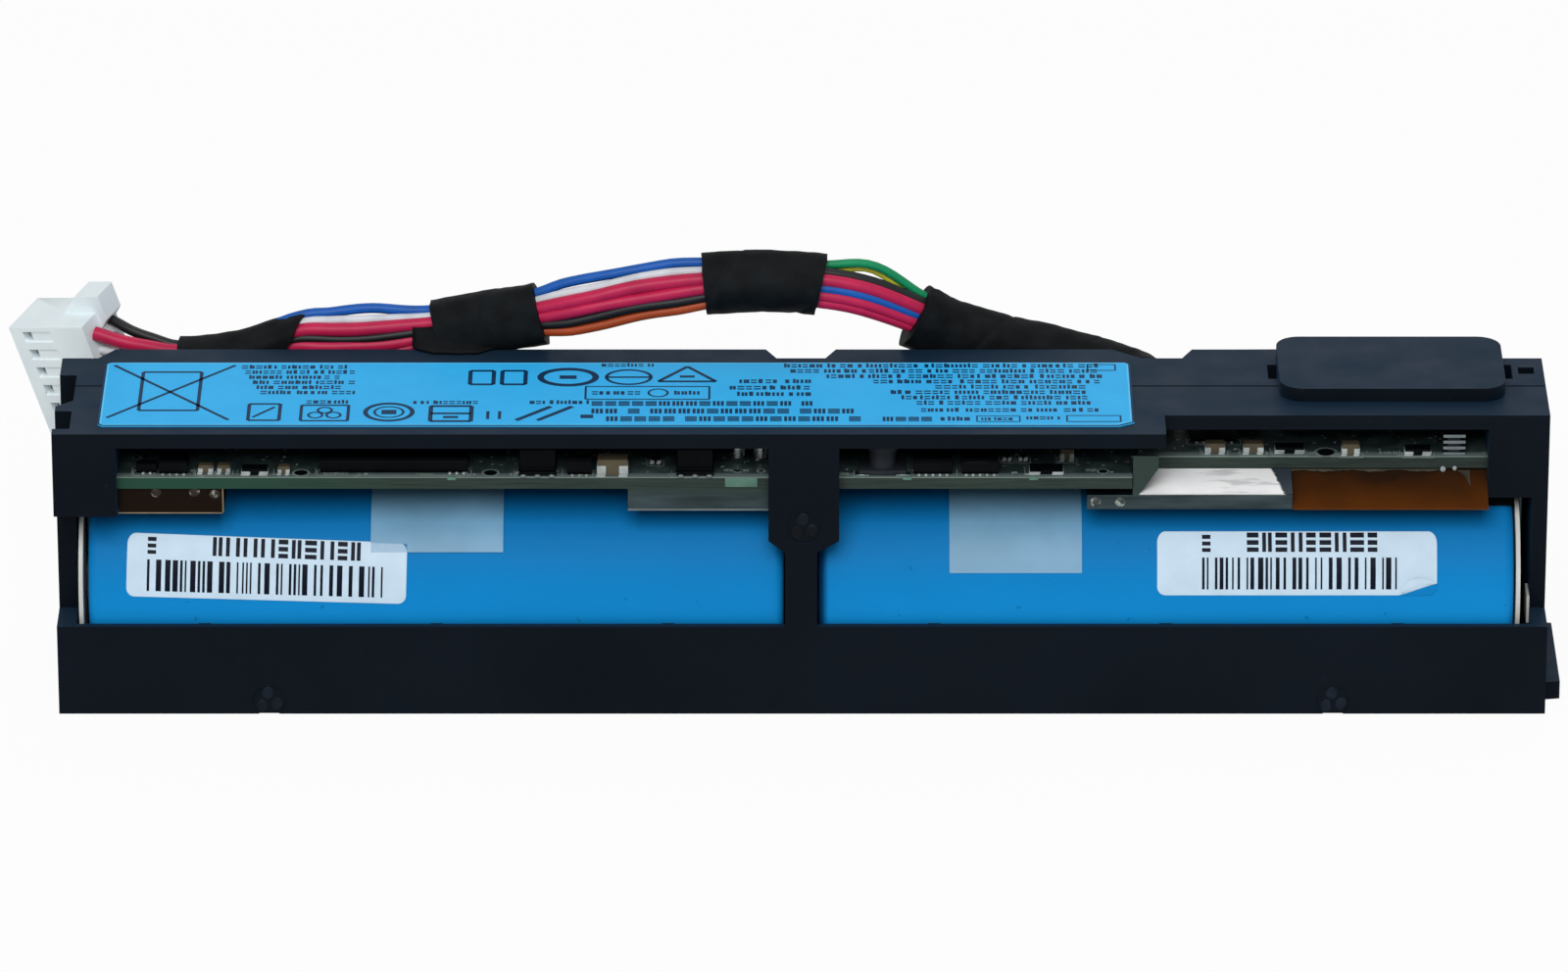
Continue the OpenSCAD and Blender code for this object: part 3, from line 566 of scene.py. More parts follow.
def smooth(t):
    """A soft step from 0 to 1, flat at both ends."""
    t = min(1, max(0, t))
    return t * t * (3 - 2 * t)


def along(knots, s):
    """The value at s of a line drawn smoothly through (s, value) knots."""
    for (a, low), (b, high) in zip(knots, knots[1:]):
        if s <= b:
            return low + (high - low) * smooth((s - a) / (b - a))
    return knots[-1][1]


# ---- harness route

PLUG_AT = mm(-65.9, 14.5, 25)
PLUG_TURN = [math.radians(a) for a in (13, -13, -32)]
PLUG_LEAD = 2.5
PLUG_DIR = Vector((math.cos(PLUG_TURN[1]) * math.cos(PLUG_TURN[2]),
                   math.cos(PLUG_TURN[1]) * math.sin(PLUG_TURN[2]),
                   -math.sin(PLUG_TURN[1])))
PATH = [(-61.5, 12.9, 26.1), (-59.8, 12.7, 26.4), (-54.6, 12.6, 27.1), (-49, 12.6, 29),
        (-45, 12.6, 29.2), (-40.5, 12.6, 29.4), (-35.5, 12.5, 30), (-30.5, 12, 31),
        (-25.5, 11.4, 31.9), (-20.5, 11, 33.1), (-15.5, 11, 34.2), (-10, 11, 35),
        (-4.5, 11, 35.3), (1, 11, 35), (5.5, 11.2, 34), (10.1, 11.7, 31.9),
        (13.5, 12.3, 30), (18.5, 12.6, 28.5), (23.5, 12.7, 27.4), (27.5, 12.4, 26.6),
        (30.5, 11.6, 26), (32.4, 9.9, 25.7), (33.1, 8, 25.5), (33.2, 6.5, 25.4)]
ROUTE = [PLUG_AT, PLUG_AT + PLUG_DIR * PLUG_LEAD * MM] + [mm(*p) for p in PATH]
# Points of the line from one point of the route to the next
STEPS = 6


def spline(points, steps):
    """A smooth line through the points (Catmull-Rom)."""
    out = []
    for i in range(len(points) - 1):
        p0, p1 = points[max(i - 1, 0)], points[i]
        p2, p3 = points[i + 1], points[min(i + 2, len(points) - 1)]
        for k in range(steps):
            t = k / steps
            bend = (2 * p0 - 5 * p1 + 4 * p2 - p3) * t * t
            twist = (3 * p1 - p0 - 3 * p2 + p3) * t ** 3
            out.append(0.5 * (2 * p1 + (p2 - p0) * t + bend + twist))
    return out + [points[-1]]


LINE = spline(ROUTE, STEPS)


def tangent(i):
    return (LINE[min(i + 1, len(LINE) - 1)] - LINE[max(i - 1, 0)]).normalized()


def section(i):
    """(up, out) across the route at LINE point i: up in the view, out towards it."""
    t = tangent(i)
    up = t.cross(TO_CAMERA)
    up = up.normalized() if up.z > 0 else -up.normalized()
    out = up.cross(t)
    return up, out if out.dot(TO_CAMERA) > 0 else -out


# Places in a bundle as (up, out) in millimetres: six in front from the top, four behind
SLOTS = [(2.2, 0.2), (1.35, 0.7), (0.45, 0.9), (-0.5, 0.85), (-1.35, 0.6), (-2.1, 0.2),
         (1.2, -0.6), (0.2, -0.4), (-0.9, -0.6), (0.1, -1.35)]
# The wires in those places, stretch by stretch from the connector to the board
ORDERS = [order.split() for order in (
    "black red white grey blue brown red green yellow red",
    "blue white red black red red brown yellow green grey",
    "blue white red red black brown red green yellow grey",
    "green black red blue red red yellow white brown grey")]
# Each wire's colour and radius, and its contact's place up the connector, in steps of
# CONTACT_STEP, and across it; all in millimetres
CABLE = [("red", 0.68, 5, -1.3), ("red", 0.62, 1, -1.3), ("red", 0.6, -3, 1.3),
         ("black", 0.5, 5, 1.3), ("blue", 0.5, 1, 1.3), ("white", 0.42, 3, -1.3),
         ("green", 0.42, -1, 1.3), ("yellow", 0.36, -1, -1.3), ("brown", 0.5, -3, -1.3),
         ("grey", 0.42, 3, 1.3)]
CONTACT_STEP = 0.91
COLORS = [wire[0] for wire in CABLE]
WRAPS = [(3, 5), (8, 10), (13, 15), (17, 25)]
# Share of the bundle's full width at points of the route
WIDTHS = [(0, 1), (2.4, 0.72), (3.4, 0.62), (4.8, 0.72), (5.6, 0.9), (6.8, 1), (8, 0.72),
          (9.8, 0.82), (10.6, 1.05), (12.4, 1.05), (13.2, 0.9), (15, 0.82), (16, 0.82),
          (17.2, 0.72), (19, 0.66), (21, 0.5), (25, 0.42)]
# Where the wires lie loose between two wraps, and where two of them arch up, by how much
LOOSE = [(0, 0), (5, 0), (6.5, 1), (8, 0), (10, 0), (11.5, 1), (13, 0), (25, 0)]
ARCH = [(0, 0), (14.9, 0), (15.9, 1), (17.1, 0), (25, 0)]
ARCHED = {"green": 1.0, "yellow": 1.5}
# Points of the route over which the wires spread out to their contacts
FAN = 3


def place_in(order, wire):
    """The slot of the wire'th wire in an order; the reds keep their turn."""
    color = COLORS[wire]
    nth = COLORS[:wire].count(color)
    return [k for k, c in enumerate(order) if c == color][nth]


def order_mix(i):
    """(order before, order after, share of after) at LINE point i."""
    s = i / STEPS
    for k, (a, b) in enumerate(WRAPS[:3]):
        if s < a:
            return k, k, 0
        if s <= b:
            return k, k + 1, smooth((s - a) / (b - a))
    return 3, 3, 0


def wire_offset(i, wire):
    """Where a wire lies round LINE point i."""
    up, out = section(i)
    a, b, t = order_mix(i)
    pa, pb = SLOTS[place_in(ORDERS[a], wire)], SLOTS[place_in(ORDERS[b], wire)]
    u, v = pa[0] * (1 - t) + pb[0] * t, pa[1] * (1 - t) + pb[1] * t
    s = i / STEPS
    loose = along(LOOSE, s)
    u += 0.12 * loose * math.sin(1.7 * s + wire * 2.3)
    v += 0.14 * loose * math.sin(1.3 * s + wire * 1.1)
    u += along(ARCH, s) * ARCHED.get(COLORS[wire], 0)
    return (up * u + out * v) * along(WIDTHS, s) * MM


def plug_matrix():
    """From the connector's own frame, x along the wires, to the row's frame."""
    rx, ry, rz = (Matrix.Rotation(a, 4, axis) for a, axis in zip(PLUG_TURN, "XYZ"))
    return Matrix.Translation(PLUG_AT) @ rz @ ry @ rx


def make_wires():
    """Ten wires that fan out of the connector and change places under the wraps."""
    b = Builder()
    plug, fan = plug_matrix(), FAN * STEPS
    for wire, (color, radius, z, y) in enumerate(CABLE):
        root = plug @ mm(0.05, y, CONTACT_STEP * z)
        centres = []
        for i in range(len(LINE)):
            p = LINE[i] + wire_offset(i, wire)
            if i < fan:
                straight = root + PLUG_DIR * (i / STEPS) * 1.3 * MM
                p = straight.lerp(p, (smooth(i / fan) + i / fan) / 2)
            centres.append(p)
        b.tube(centres, radius * MM, 12, list(WIRES).index(color))
    o = piece("harness_wires", b, list(WIRES.values()))
    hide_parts("wires_1", "wires_2", "wires_3", "wires_4")
    return o

# Each wrap in millimetres: its radii (up, out) at its first and its last end, how far its
# axis lies above the route there, and how far the ends lean along the route at the top
WRAP_SHAPES = [((2, 1.9), (2.1, 1.9), (0.15, -0.3), (0.2, 1.6)),
               ((2.95, 1.9), (2.95, 2), (-0.5, -0.1), (-0.2, -0.3)),
               ((2.85, 2.1), (2.8, 2.1), (0, 0), (0, 0.3)),
               ((3, 2), (1.5, 1.4), (-0.45, 0), (0.2, 0))]

def wrap_ring(n, f, g, reach, sides=56):
    """A ring of wrap n at place f of the line, share g and reach (in mm) along the wrap."""
    i, t = int(f), f - int(f)
    j = min(i + 1, len(LINE) - 1)
    centre = LINE[i].lerp(LINE[j], t)
    up, out = (a.lerp(b, t) for a, b in zip(section(i), section(j)))
    (up0, out0), (up1, out1), lifts, leans = WRAP_SHAPES[n]
    half_up, half_out = up0 + (up1 - up0) * g, out0 + (out1 - out0) * g
    rise = lifts[0] * (1 - g) + lifts[1] * g
    lean = leans[0] * (1 - g) ** 3 + leans[1] * g ** 3
    ring = []
    for q, a in enumerate(turns(sides)):
        c, s = math.cos(a), math.sin(a)
        # the overlap winds round, and soft lobes, folds and wrinkles lie on it
        lap = (reach * 0.11 + q / sides + 0.3 * n) % 1
        grow = 0.11 * smooth((1 - lap) * 12) + 0.08 * math.cos(4 * a + n * 2 + reach * 0.1)
        grow += 0.12 * noise.noise((c * 1.2 + n * 9, s * 1.2, reach * 0.35))
        grow += 0.05 * noise.noise((c * 3 + n * 5, s * 3, reach))
        frayed = 0.1 * noise.noise((a * 2, n, 0)) * (g in (0, 1))
        across = up * (c * (half_up + grow) + rise) + out * s * (half_out + grow)
        ring.append(centre + (across + tangent(i) * (lean * c + frayed)) * MM)
    return ring


def make_wrap(n):
    """Tape wound round the bundle: a wrinkled tube with one overlap and frayed ends."""
    i0, i1 = WRAPS[n][0] * STEPS, min(WRAPS[n][1] * STEPS, len(LINE) - 1)
    count = (i1 - i0) * 4
    rows = []
    for k in range(count + 1):
        f, g = i0 + (i1 - i0) * k / count, k / count
        rows.append(wrap_ring(n, f, g, g * (i1 - i0) * 0.8))
    ends = [[middle(row).lerp(p, 0.8) for p in row] for row in (rows[0], rows[-1])]
    b = Builder()
    b.grid([ends[0]] + rows + [ends[1]], closed=True, caps=True)
    o = piece(f"tape_wrap_cloth_{n + 1}", b, [CLOTH], 50)
    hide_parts(f"tape_wrap_{n + 1}")
    return o


def make_flap():
    """The loose fold of the second wrap that lies over the frame's rear edge."""
    lo, hi = LINE[7 * STEPS + 3].x + 0.4 * MM, LINE[9 * STEPS + 2].x - 0.6 * MM
    rows = []
    for k in range(17):
        g = k / 16
        reach = 1.35 * min(1, 4 * g, 4 - 4 * g) + 0.2 * noise.noise((g * 5, 1, 0))
        row = []
        for h in (q / 6 for q in range(7)):
            y = 1.3 - (1.3 + reach) * h
            z = 0.2 + 1.5 * (1 - h) ** 2 + 0.1 * noise.noise((g * 6, h * 3, 4))
            row.append(Vector((lo + (hi - lo) * g, FRAME_BACK, FRAME_TOP)) + mm(0, y, z))
        rows.append(row)
    b = Builder()
    b.grid(rows)
    o = piece("wrap_fold", b, [CLOTH], 60)
    thick = o.modifiers.new("thick", "SOLIDIFY")
    thick.thickness, thick.offset = 0.25 * MM, 0
    return o


def make_harness():
    wires = make_wires()
    wraps = [make_wrap(n) for n in range(4)] + [make_flap()]


make_harness()

# ---- looks of the CAD nodes

# Material, width in millimetres of the rounded edges, and the nodes that get them
DRESSES = [
    (PLASTIC, 0.14, "front_shell rear_shell"),
    (SLEEVE, 0, "left_cell_sleeve right_cell_sleeve"),
    (STEEL, 0, "left_cell_can right_cell_can"),
    (WHITE, 0, "left_end_disc right_end_disc end_pad"),
    (NICKEL, 0.05, "left_end_tab right_end_tab cell_link"),
    (NICKEL, 0.05, "left_nickel_strip right_nickel_strip"),
    (FOIL, 0, "silver_foil"),
    (AMBER, 0.06, "left_film_tape"),
    (AMBER, 0, "right_film_tape"),
    (CLOTH, 0, "end_tape"),
    (CLEAR, 0, "left_clear_tape right_clear_tape"),
    (STICKER, 0, "left_cell_sticker"),
    (CURLED, 0, "right_cell_sticker"),
    (LABEL, 0, "rating_label"),
    (BOARD, 0, "circuit_board"),
    (CHIP, 0.05, "black_chips power_transistors"),
    (CHIP, 0.03, "chip_resistors"),
    (CERAMIC, 0.06, "ceramic_capacitors"),
    (CORE, 0.05, "inductor"),
    (TINNED, 0, "crystal_cans"),
    (PINS, 0.03, "pin_stack"),
    (FLECKS, 0, "solder_joints"),
    (NYLON, 0.3, "connector_housing"),
    (BRASS, 0, "connector_contacts"),
]

for finish, edge, nodes in DRESSES:
    for node in nodes.split():
        dress(node, finish, edge)

# ---- print on the label


# Where printed marks start and end, in millimetres above the surface they lie on
INK_FOOT, INK_TOP = -0.003, 0.012


class Print:
    """Flat marks; u runs from the left end and v from the front edge, in millimetres."""

    def __init__(self, node):
        lo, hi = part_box(node)
        self.corner, self.b = Vector((lo.x, lo.y, hi.z)), Builder()

    def point(self, u, v, w):
        return self.corner + mm(u, v, w)

    def bar(self, u0, v0, u1, v1, material=0):
        self.b.box((u0, v0, INK_FOOT), (u1, v1, INK_TOP), material, self.point)

    def line(self, u0, v0, u1, v1, width, material=0):
        """A straight stroke between two points."""
        run = Vector((u1 - u0, v1 - v0))
        side = Vector((-run.y, run.x)).normalized() * width / 2

        def place(a, b, w):
            q = Vector((u0, v0)) + run * a + side * b
            return self.point(q.x, q.y, w)
        self.b.box((0, -1, INK_FOOT), (1, 1, INK_TOP), material, place)

    def path(self, points, width, material=0):
        """A closed outline of straight strokes."""
        for a, b in zip(points, points[1:] + points[:1]):
            self.line(*a, *b, width, material)

    def box(self, u0, v0, u1, v1, width):
        self.path([(u0, v0), (u1, v0), (u1, v1), (u0, v1)], width)

    def ring(self, u, v, ru, rv, width, material=0, sides=28):
        """An oval stroke."""
        rows = []
        for a in turns(sides) + [0]:
            rows.append([self.point(u + (ru + s) * math.cos(a), v + (rv + s) * math.sin(a),
                                    INK_TOP) for s in (-width / 2, width / 2)])
        self.b.grid(rows, material=material)

    def words(self, u0, u1, v, h, seed, material=0):
        """A greeked line: blocks, pairs and tiers of short bars in word-like groups."""
        pick = random.Random(seed)
        u, bar = u0, 0.27 * h
        while u < u1:
            for _ in range(pick.randint(3, 9)):
                w = h * pick.choice((0.27, 0.55, 0.6, 0.7))
                if u + w > u1:
                    return
                kind = pick.choice("block pair pair tiers tiers".split())
                top = v + h * pick.choice((0.86, 0.86, 1.02))
                if w < 0.3 * h or kind == "block":
                    self.bar(u, v, u + min(w, 0.4 * h), top, material)
                elif kind == "pair":
                    self.bar(u, v, u + bar, top, material)
                    self.bar(u + w - bar, v, u + w, v + 0.86 * h, material)
                else:
                    self.bar(u, v, u + w, v + bar, material)
                    self.bar(u, v + 0.86 * h - bar, u + w, v + 0.86 * h, material)
                u += w + h * 0.16
            u += h * 0.36

    def squares(self, u0, u1, v, h, seed):
        """A row of dense square blocks, each cut into three bars."""
        pick = random.Random(seed)
        u = u0
        while u + h <= u1:
            upright = pick.random() < 0.4
            for k in range(3):
                a, c = h * 0.36 * k, h * (0.36 * k + 0.26)
                if upright:
                    self.bar(u + a, v, u + c, v + h)
                else:
                    self.bar(u, v + a, u + h, v + c)
            u += h * (1.2 if pick.random() < 0.85 else 1.9)


def outline(size, inset, radius, cut):
    """Corners of the label's outline: rounded, with its front right corner cut."""
    w, h = size[0] - inset, size[1] - inset
    r = max(radius - inset, 0.05)
    points = [(w - cut[0], inset), (w, inset + cut[1])]
    for u, v, start in ((w - r, h - r, 0), (inset + r, h - r, 90),
                        (inset + r, inset + r, 180)):
        for k in range(7):
            a = math.radians(start + 15 * k)
            points.append((u + r * math.cos(a), v + r * math.sin(a)))
    return points


# Marks on the label, in millimetres from its front left corner. Two corners of each box
# and the width of its stroke; the first box is the crossed one at the left
LABEL_BOXES = [
    (3.7, 3.6, 9.2, 12.6, 0.34), (14, 1.3, 16.9, 5.1, 0.34), (18.9, 1.2, 23.3, 4.8, 0.3),
    (31, 1.1, 34.8, 4.6, 0.42), (34.5, 9.7, 36.7, 12.9, 0.4), (37.5, 9.7, 39.7, 12.9, 0.4),
    (45.4, 6.2, 57, 9.2, 0.2), (82, 1, 86, 2.3, 0.14), (90.4, 1, 95.4, 2.4, 0.16),
    (92.6, 13, 95.2, 14.4, 0.16)]
# Both ends of each stroke and its width
LABEL_LINES = [
    (0.9, 14.2, 12.2, 1.4, 0.34), (12.3, 14.2, 0.8, 1.9, 0.34), (14.4, 2, 16.4, 4.4, 0.3),
    (31, 2.9, 34.8, 2.9, 0.4), (39, 1.3, 42.2, 4.5, 0.5), (41, 1.3, 44.2, 4.5, 0.5),
    (47.3, 11.4, 51.5, 11.4, 0.34), (52.2, 10.4, 57.6, 10.4, 0.4),
    (57.6, 10.4, 54.9, 13.9, 0.4), (54.9, 13.9, 52.2, 10.4, 0.4)]
# Middle and half sizes of each oval, and the width of its stroke
LABEL_RINGS = [
    (21.1, 3.65, 0.65, 0.65, 0.24), (20.25, 2.5, 0.65, 0.65, 0.24),
    (21.95, 2.5, 0.65, 0.65, 0.24), (27.1, 3.2, 2.2, 2, 0.45), (27.1, 3.2, 1.35, 1.25, 0.24),
    (43.7, 11.4, 2.6, 1.9, 0.62), (49.4, 11.4, 2.1, 1.7, 0.34), (52.2, 7.7, 0.9, 0.9, 0.22)]
# Two corners of each bar
LABEL_BARS = [
    (26.4, 2.7, 27.8, 3.7), (32.2, 1.8, 33.6, 2.3), (36.2, 1.6, 36.5, 3.4),
    (37.3, 1.6, 37.6, 3.4), (45, 1.8, 46.2, 2.6), (42.9, 11, 44.5, 11.8),
    (54.2, 11.3, 55.6, 11.8)]
# Left and right end, foot, height and seed of each short greeked line
LABEL_WORDS = [
    (19.3, 23.6, 5.2, 0.85, 30), (29.3, 35.8, 5.1, 0.8, 31), (40.2, 46.4, 5.1, 0.85, 32),
    (46.8, 51.8, 13.9, 0.8, 33), (46, 50.6, 7.3, 0.9, 34), (53.7, 56.6, 7.3, 0.9, 35),
    (59.8, 66.9, 10, 0.95, 40), (58.9, 66.9, 8.5, 0.95, 41), (59.6, 66.9, 7, 0.95, 42),
    (76.8, 94.6, 3.3, 0.9, 61), (78.6, 81.6, 1.2, 0.95, 62), (82.4, 85.6, 1.3, 0.7, 63),
    (86.6, 90.2, 1.5, 0.8, 64)]
# The same for each row of square blocks
LABEL_SQUARES = [(46, 67, 4.7, 1.05, 70), (46, 71.6, 2.9, 1.1, 71),
                 (47.4, 71.8, 1.1, 1.1, 72), (73.2, 78, 1.1, 1, 73)]
# Left ends of the long lines at the label's rear right
LONG_LINES = [64, 64.6, 68, 72.4, 78.2, 74, 75, 76.4]


def make_label_print():
    """Generic marks in the places of the real label's print, inside a two-tone edge."""
    p = Print("rating_label")
    size = (LABEL_HI - LABEL_LO) / MM
    p.path(outline(size, 0.1, 0.7, (1.4, 0.8)), 0.2, 1)
    p.path(outline(size, 0.29, 0.7, (1.4, 0.8)), 0.17, 2)
    for k in range(6):
        p.words(12.9 + 0.4 * k, 22.9 + 1.2 * (k % 2), 13.4 - 1.2 * k, 0.86, 11 + k)
    for k, u in enumerate(LONG_LINES):
        p.words(u, 94 - (k > 3), 13.7 - 1.25 * k, 0.92, 50 + k)
    for draw, marks in ((p.words, LABEL_WORDS), (p.squares, LABEL_SQUARES),
                        (p.box, LABEL_BOXES), (p.line, LABEL_LINES),
                        (p.ring, LABEL_RINGS), (p.bar, LABEL_BARS)):
        for mark in marks:
            draw(*mark)
    piece("label_print", p.b, [NAVY, EDGE_BLUE, PALE])

# ---- stickers on the cells


class Bent:
    """Marks bent round a cell; u runs along the sticker and v up it, from its middle."""

    def __init__(self, node, tilt):
        self.lo, self.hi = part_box(node)
        self.middle, self.tilt = (self.lo + self.hi) / 2, tilt
        self.radius = max(math.hypot(v.co.y - CELL_Y, v.co.z - CELL_Z)
                          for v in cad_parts[node].data.vertices)
        self.b = Builder()

    def point(self, u, v, w):
        """A place on the sticker, w proud of it; all in millimetres."""
        c, s = math.cos(self.tilt), math.sin(self.tilt)
        height = self.middle.z + (v * c - u * s) * MM - CELL_Z
        r = self.radius + w * MM
        return Vector((self.middle.x + (u * c + v * s) * MM,
                       CELL_Y - math.sqrt(r * r - height * height), CELL_Z + height))

    def bar(self, u0, v0, u1, v1, cuts=1):
        """A printed mark, cut into bands so that it follows the cell."""
        self.b.grid([[self.point(u, v0 + (v1 - v0) * k / cuts, INK_TOP) for u in (u0, u1)]
                     for k in range(cuts + 1)])

    def bars(self, u, end, pick):
        """Upright bars of chance widths, which code nothing."""
        while u < end - 0.5:
            w = pick.choice((0.16, 0.24, 0.36, 0.5))
            self.bar(u, -2.1, u + w, 0.7, 6)
            u += w + pick.choice((0.2, 0.2, 0.36, 0.6))

    def blocks(self, u, end, pick):
        """A greeked line: blocks of three flat bars or of two upright ones."""
        while u < end - 1:
            w, bar = pick.choice((0.9, 1.1, 1.3)), 0.36
            if pick.random() < 0.5:
                for v in (1.15, 1.7, 2.25):
                    self.bar(u, v, u + w, v + bar)
            else:
                for at in (u, u + w - bar):
                    self.bar(at, 1.15, at + bar, 2.61, 3)
            u += w + 0.34

    def curl(self):
        """The folded lower right corner, which stands off the cell."""
        half = (self.hi.x - self.lo.x) / 2 / MM
        low = (self.lo.z - self.middle.z) / MM
        start = Vector((half - CURL[0], low + 0.08))
        end = Vector((half, low + CURL[1]))
        rows = []
        for g in (k / 6 for k in range(7)):
            u, v = start.lerp(end, g)
            reach = 0.95 * math.sin(math.pi * g) ** 0.8
            rows.append([self.point(u - 0.5 * reach * h, v + reach * h,
                                    0.03 + 0.3 * h * (1.4 - h)) for h in (0, 0.3, 0.65, 1)])
        self.b.grid(rows, material=1)


def make_sticker_print(side, tilt, seed, bars, blocks):
    """Bars, a greeked line and one small mark on a cell's sticker."""
    s = Bent(f"{side}_cell_sticker", tilt)
    pick = random.Random(seed)
    s.bars(*bars, pick)
    s.blocks(*blocks, pick)
    for v in (1.15, 1.65, 2.15):
        s.bar(bars[0], v, bars[0] + 0.8, v + 0.3)
    if side == "right":
        s.curl()
    piece(f"{side}_sticker_print", s.b, [INK, STICKER])

# ---- details of the board


def make_board_parts():
    """Solder ends, pins and legs of the parts that stand on the board."""
    b = Builder()
    top = BOARD_HI.z
    # caps over both ends of a small part, each with a solder foot in front
    edge = mm(0.06, 0.05, 0.03)
    for node, share, foot in (("ceramic_capacitors", 0.26, 0.34), ("chip_resistors", 0.3, 0.2)):
        for lo, hi in solids(node):
            cap = (hi.x - lo.x) * share
            for x0, x1 in ((lo.x, lo.x + cap), (hi.x - cap, hi.x)):
                b.box((x0 - edge.x, lo.y - edge.y, lo.z + edge.z),
                      (x1 + edge.x, hi.y + edge.y, lo.z + 0.62 * (hi.z - lo.z)))
                b.box((x0 - 2 * edge.x, lo.y - foot * MM, top), (x1, lo.y, top + 0.16 * MM))
    # a row of pins in front of each chip, of which a long chip shows the last three
    pitch, half = 0.65 * MM, 0.13 * MM
    for lo, hi in solids("black_chips"):
        count = max(2, int((hi.x - lo.x) / pitch))
        for k in range(count - 3 if count > 9 else 0, count):
            x = (lo.x + hi.x - (count - 1) * pitch) / 2 + k * pitch
            b.box((x - half, lo.y - 0.35 * MM, top), (x + half, lo.y, top + 0.12 * MM))
    for lo, hi in solids("power_transistors"):
        for share in (0.12, 0.5, 0.88):
            x = lo.x + (hi.x - lo.x) * share
            b.box((x - 0.26 * MM, lo.y - 0.45 * MM, top),
                  (x + 0.26 * MM, lo.y + 0.7 * MM, lo.z + 0.3 * MM), 1)
    lo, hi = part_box("inductor")
    for x in (lo.x - 0.4 * MM, hi.x - 1 * MM):
        b.box((x, lo.y - 0.2 * MM, top), (x + 1.4 * MM, lo.y + 0.6 * MM, top + 0.2 * MM), 1)
    bevel(piece("solder_ends", b, [SOLDER, PINS]), 0.04, 1)

# Short greeked lines on the board: x from the frame's middle, y from the front edge, length
BOARD_WORDS = [(-60, 3.6, 2.2), (-44.6, 0.5, 2.6), (-36, 0.25, 2), (-27.2, 0.4, 1.9),
               (-19, 1.9, 1.4), (-12.4, 0.4, 2.2), (-7.2, 1.3, 2.4), (3.4, 0.5, 1.2),
               (10.6, 4.3, 2.4), (26.6, 1.4, 1.8), (37.4, 7.3, 1.6), (46.8, 5.3, 2.1),
               (54.2, 5.4, 2.2), (57.2, 6.6, 1.4)]
# Rings round holes and dark pads: x, y, radius
BOARD_RINGS = [(-46.7, 0.95, 0.75), (-29, 0.95, 0.75), (-62.2, 4.5, 0.4), (-5.95, 1.4, 0.35),
               (-3.75, 1.4, 0.35), (28.2, 1.3, 0.5), (49.2, 5.7, 1), (61.6, 7.4, 0.6)]


def make_board_print():
    """Pale outlines, rings, greeked lines and small pads on the board."""
    p = Print("circuit_board")
    start = (MID_X - BOARD_LO.x) / MM
    for node in ("black_chips ceramic_capacitors power_transistors inductor "
                 "chip_resistors").split():
        for lo, hi in solids(node):
            low, high = (lo - BOARD_LO) / MM, (hi - BOARD_LO) / MM
            u, v = low.x - 0.3, low.y - 0.55
            if v > 0.1:
                p.box(u, v, high.x + 0.3, v + 1.2, 0.09)
            p.line(u - 0.15, v + 0.3, u - 0.15, v + 1.8, 0.08)
    for k, (x, y, reach) in enumerate(BOARD_WORDS):
        p.words(start + x, start + x + reach, y, 0.55, 80 + k)
    for x, y, r in BOARD_RINGS:
        p.ring(start + x, y, r, r, 0.16)
        p.ring(start + x, y, r * 0.4, r * 0.4, r * 0.75, material=1)
    pick = random.Random(5)
    for _ in range(170):
        x, y = pick.uniform(-62, 63), pick.uniform(0.3, 8)
        if x > (BOARD_HI.x - MID_X) / MM - STEP_LENGTH:
            y += STEP_BACK
        w = pick.choice((0.14, 0.2, 0.3))
        p.bar(start + x, y, start + x + w, y + pick.choice((0.2, 0.3)), 2)
    piece("board_print", p.b, [SILK, CHIP, SOLDER])


def make_board_edge():
    """Pale rectangle and cut tabs on the board's front edge."""
    b = Builder()
    y, top = BOARD_LO.y, BOARD_HI.z
    b.box((MID_X - 7.1 * MM, y - 0.02 * MM, BOARD_LO.z + 0.2 * MM),
          (MID_X - 4.1 * MM, y + 0.02 * MM, top - 0.1 * MM))
    for x in (MID_X + k * MM for k in (-33, 9.5, 21.3)):
        b.box((x, y - 0.012 * MM, top - 0.3 * MM), (x + 0.8 * MM, y + 0.02 * MM, top))
    piece("board_edge_marks", b, [MINT])


# ---- films, strips and ejector marks

# How far the right film runs back from its lower front edge to the board, in millimetres
FILM_BACK = 4.5
# How far in the torn edge ends before the right film's right end, in millimetres
TORN_END = 4.4


def film_point(x, share, proud):
    """A point on the right film: share 0 at its lower front edge and 1 at the board."""
    rise = (BOARD_LO.z - 0.1 * MM - FILM_LO.z) * share
    y = FILM_LO.y + FILM_BACK * MM * share
    return Vector((x, y - proud * 0.4 * MM, FILM_LO.z + rise + proud * 0.9 * MM))


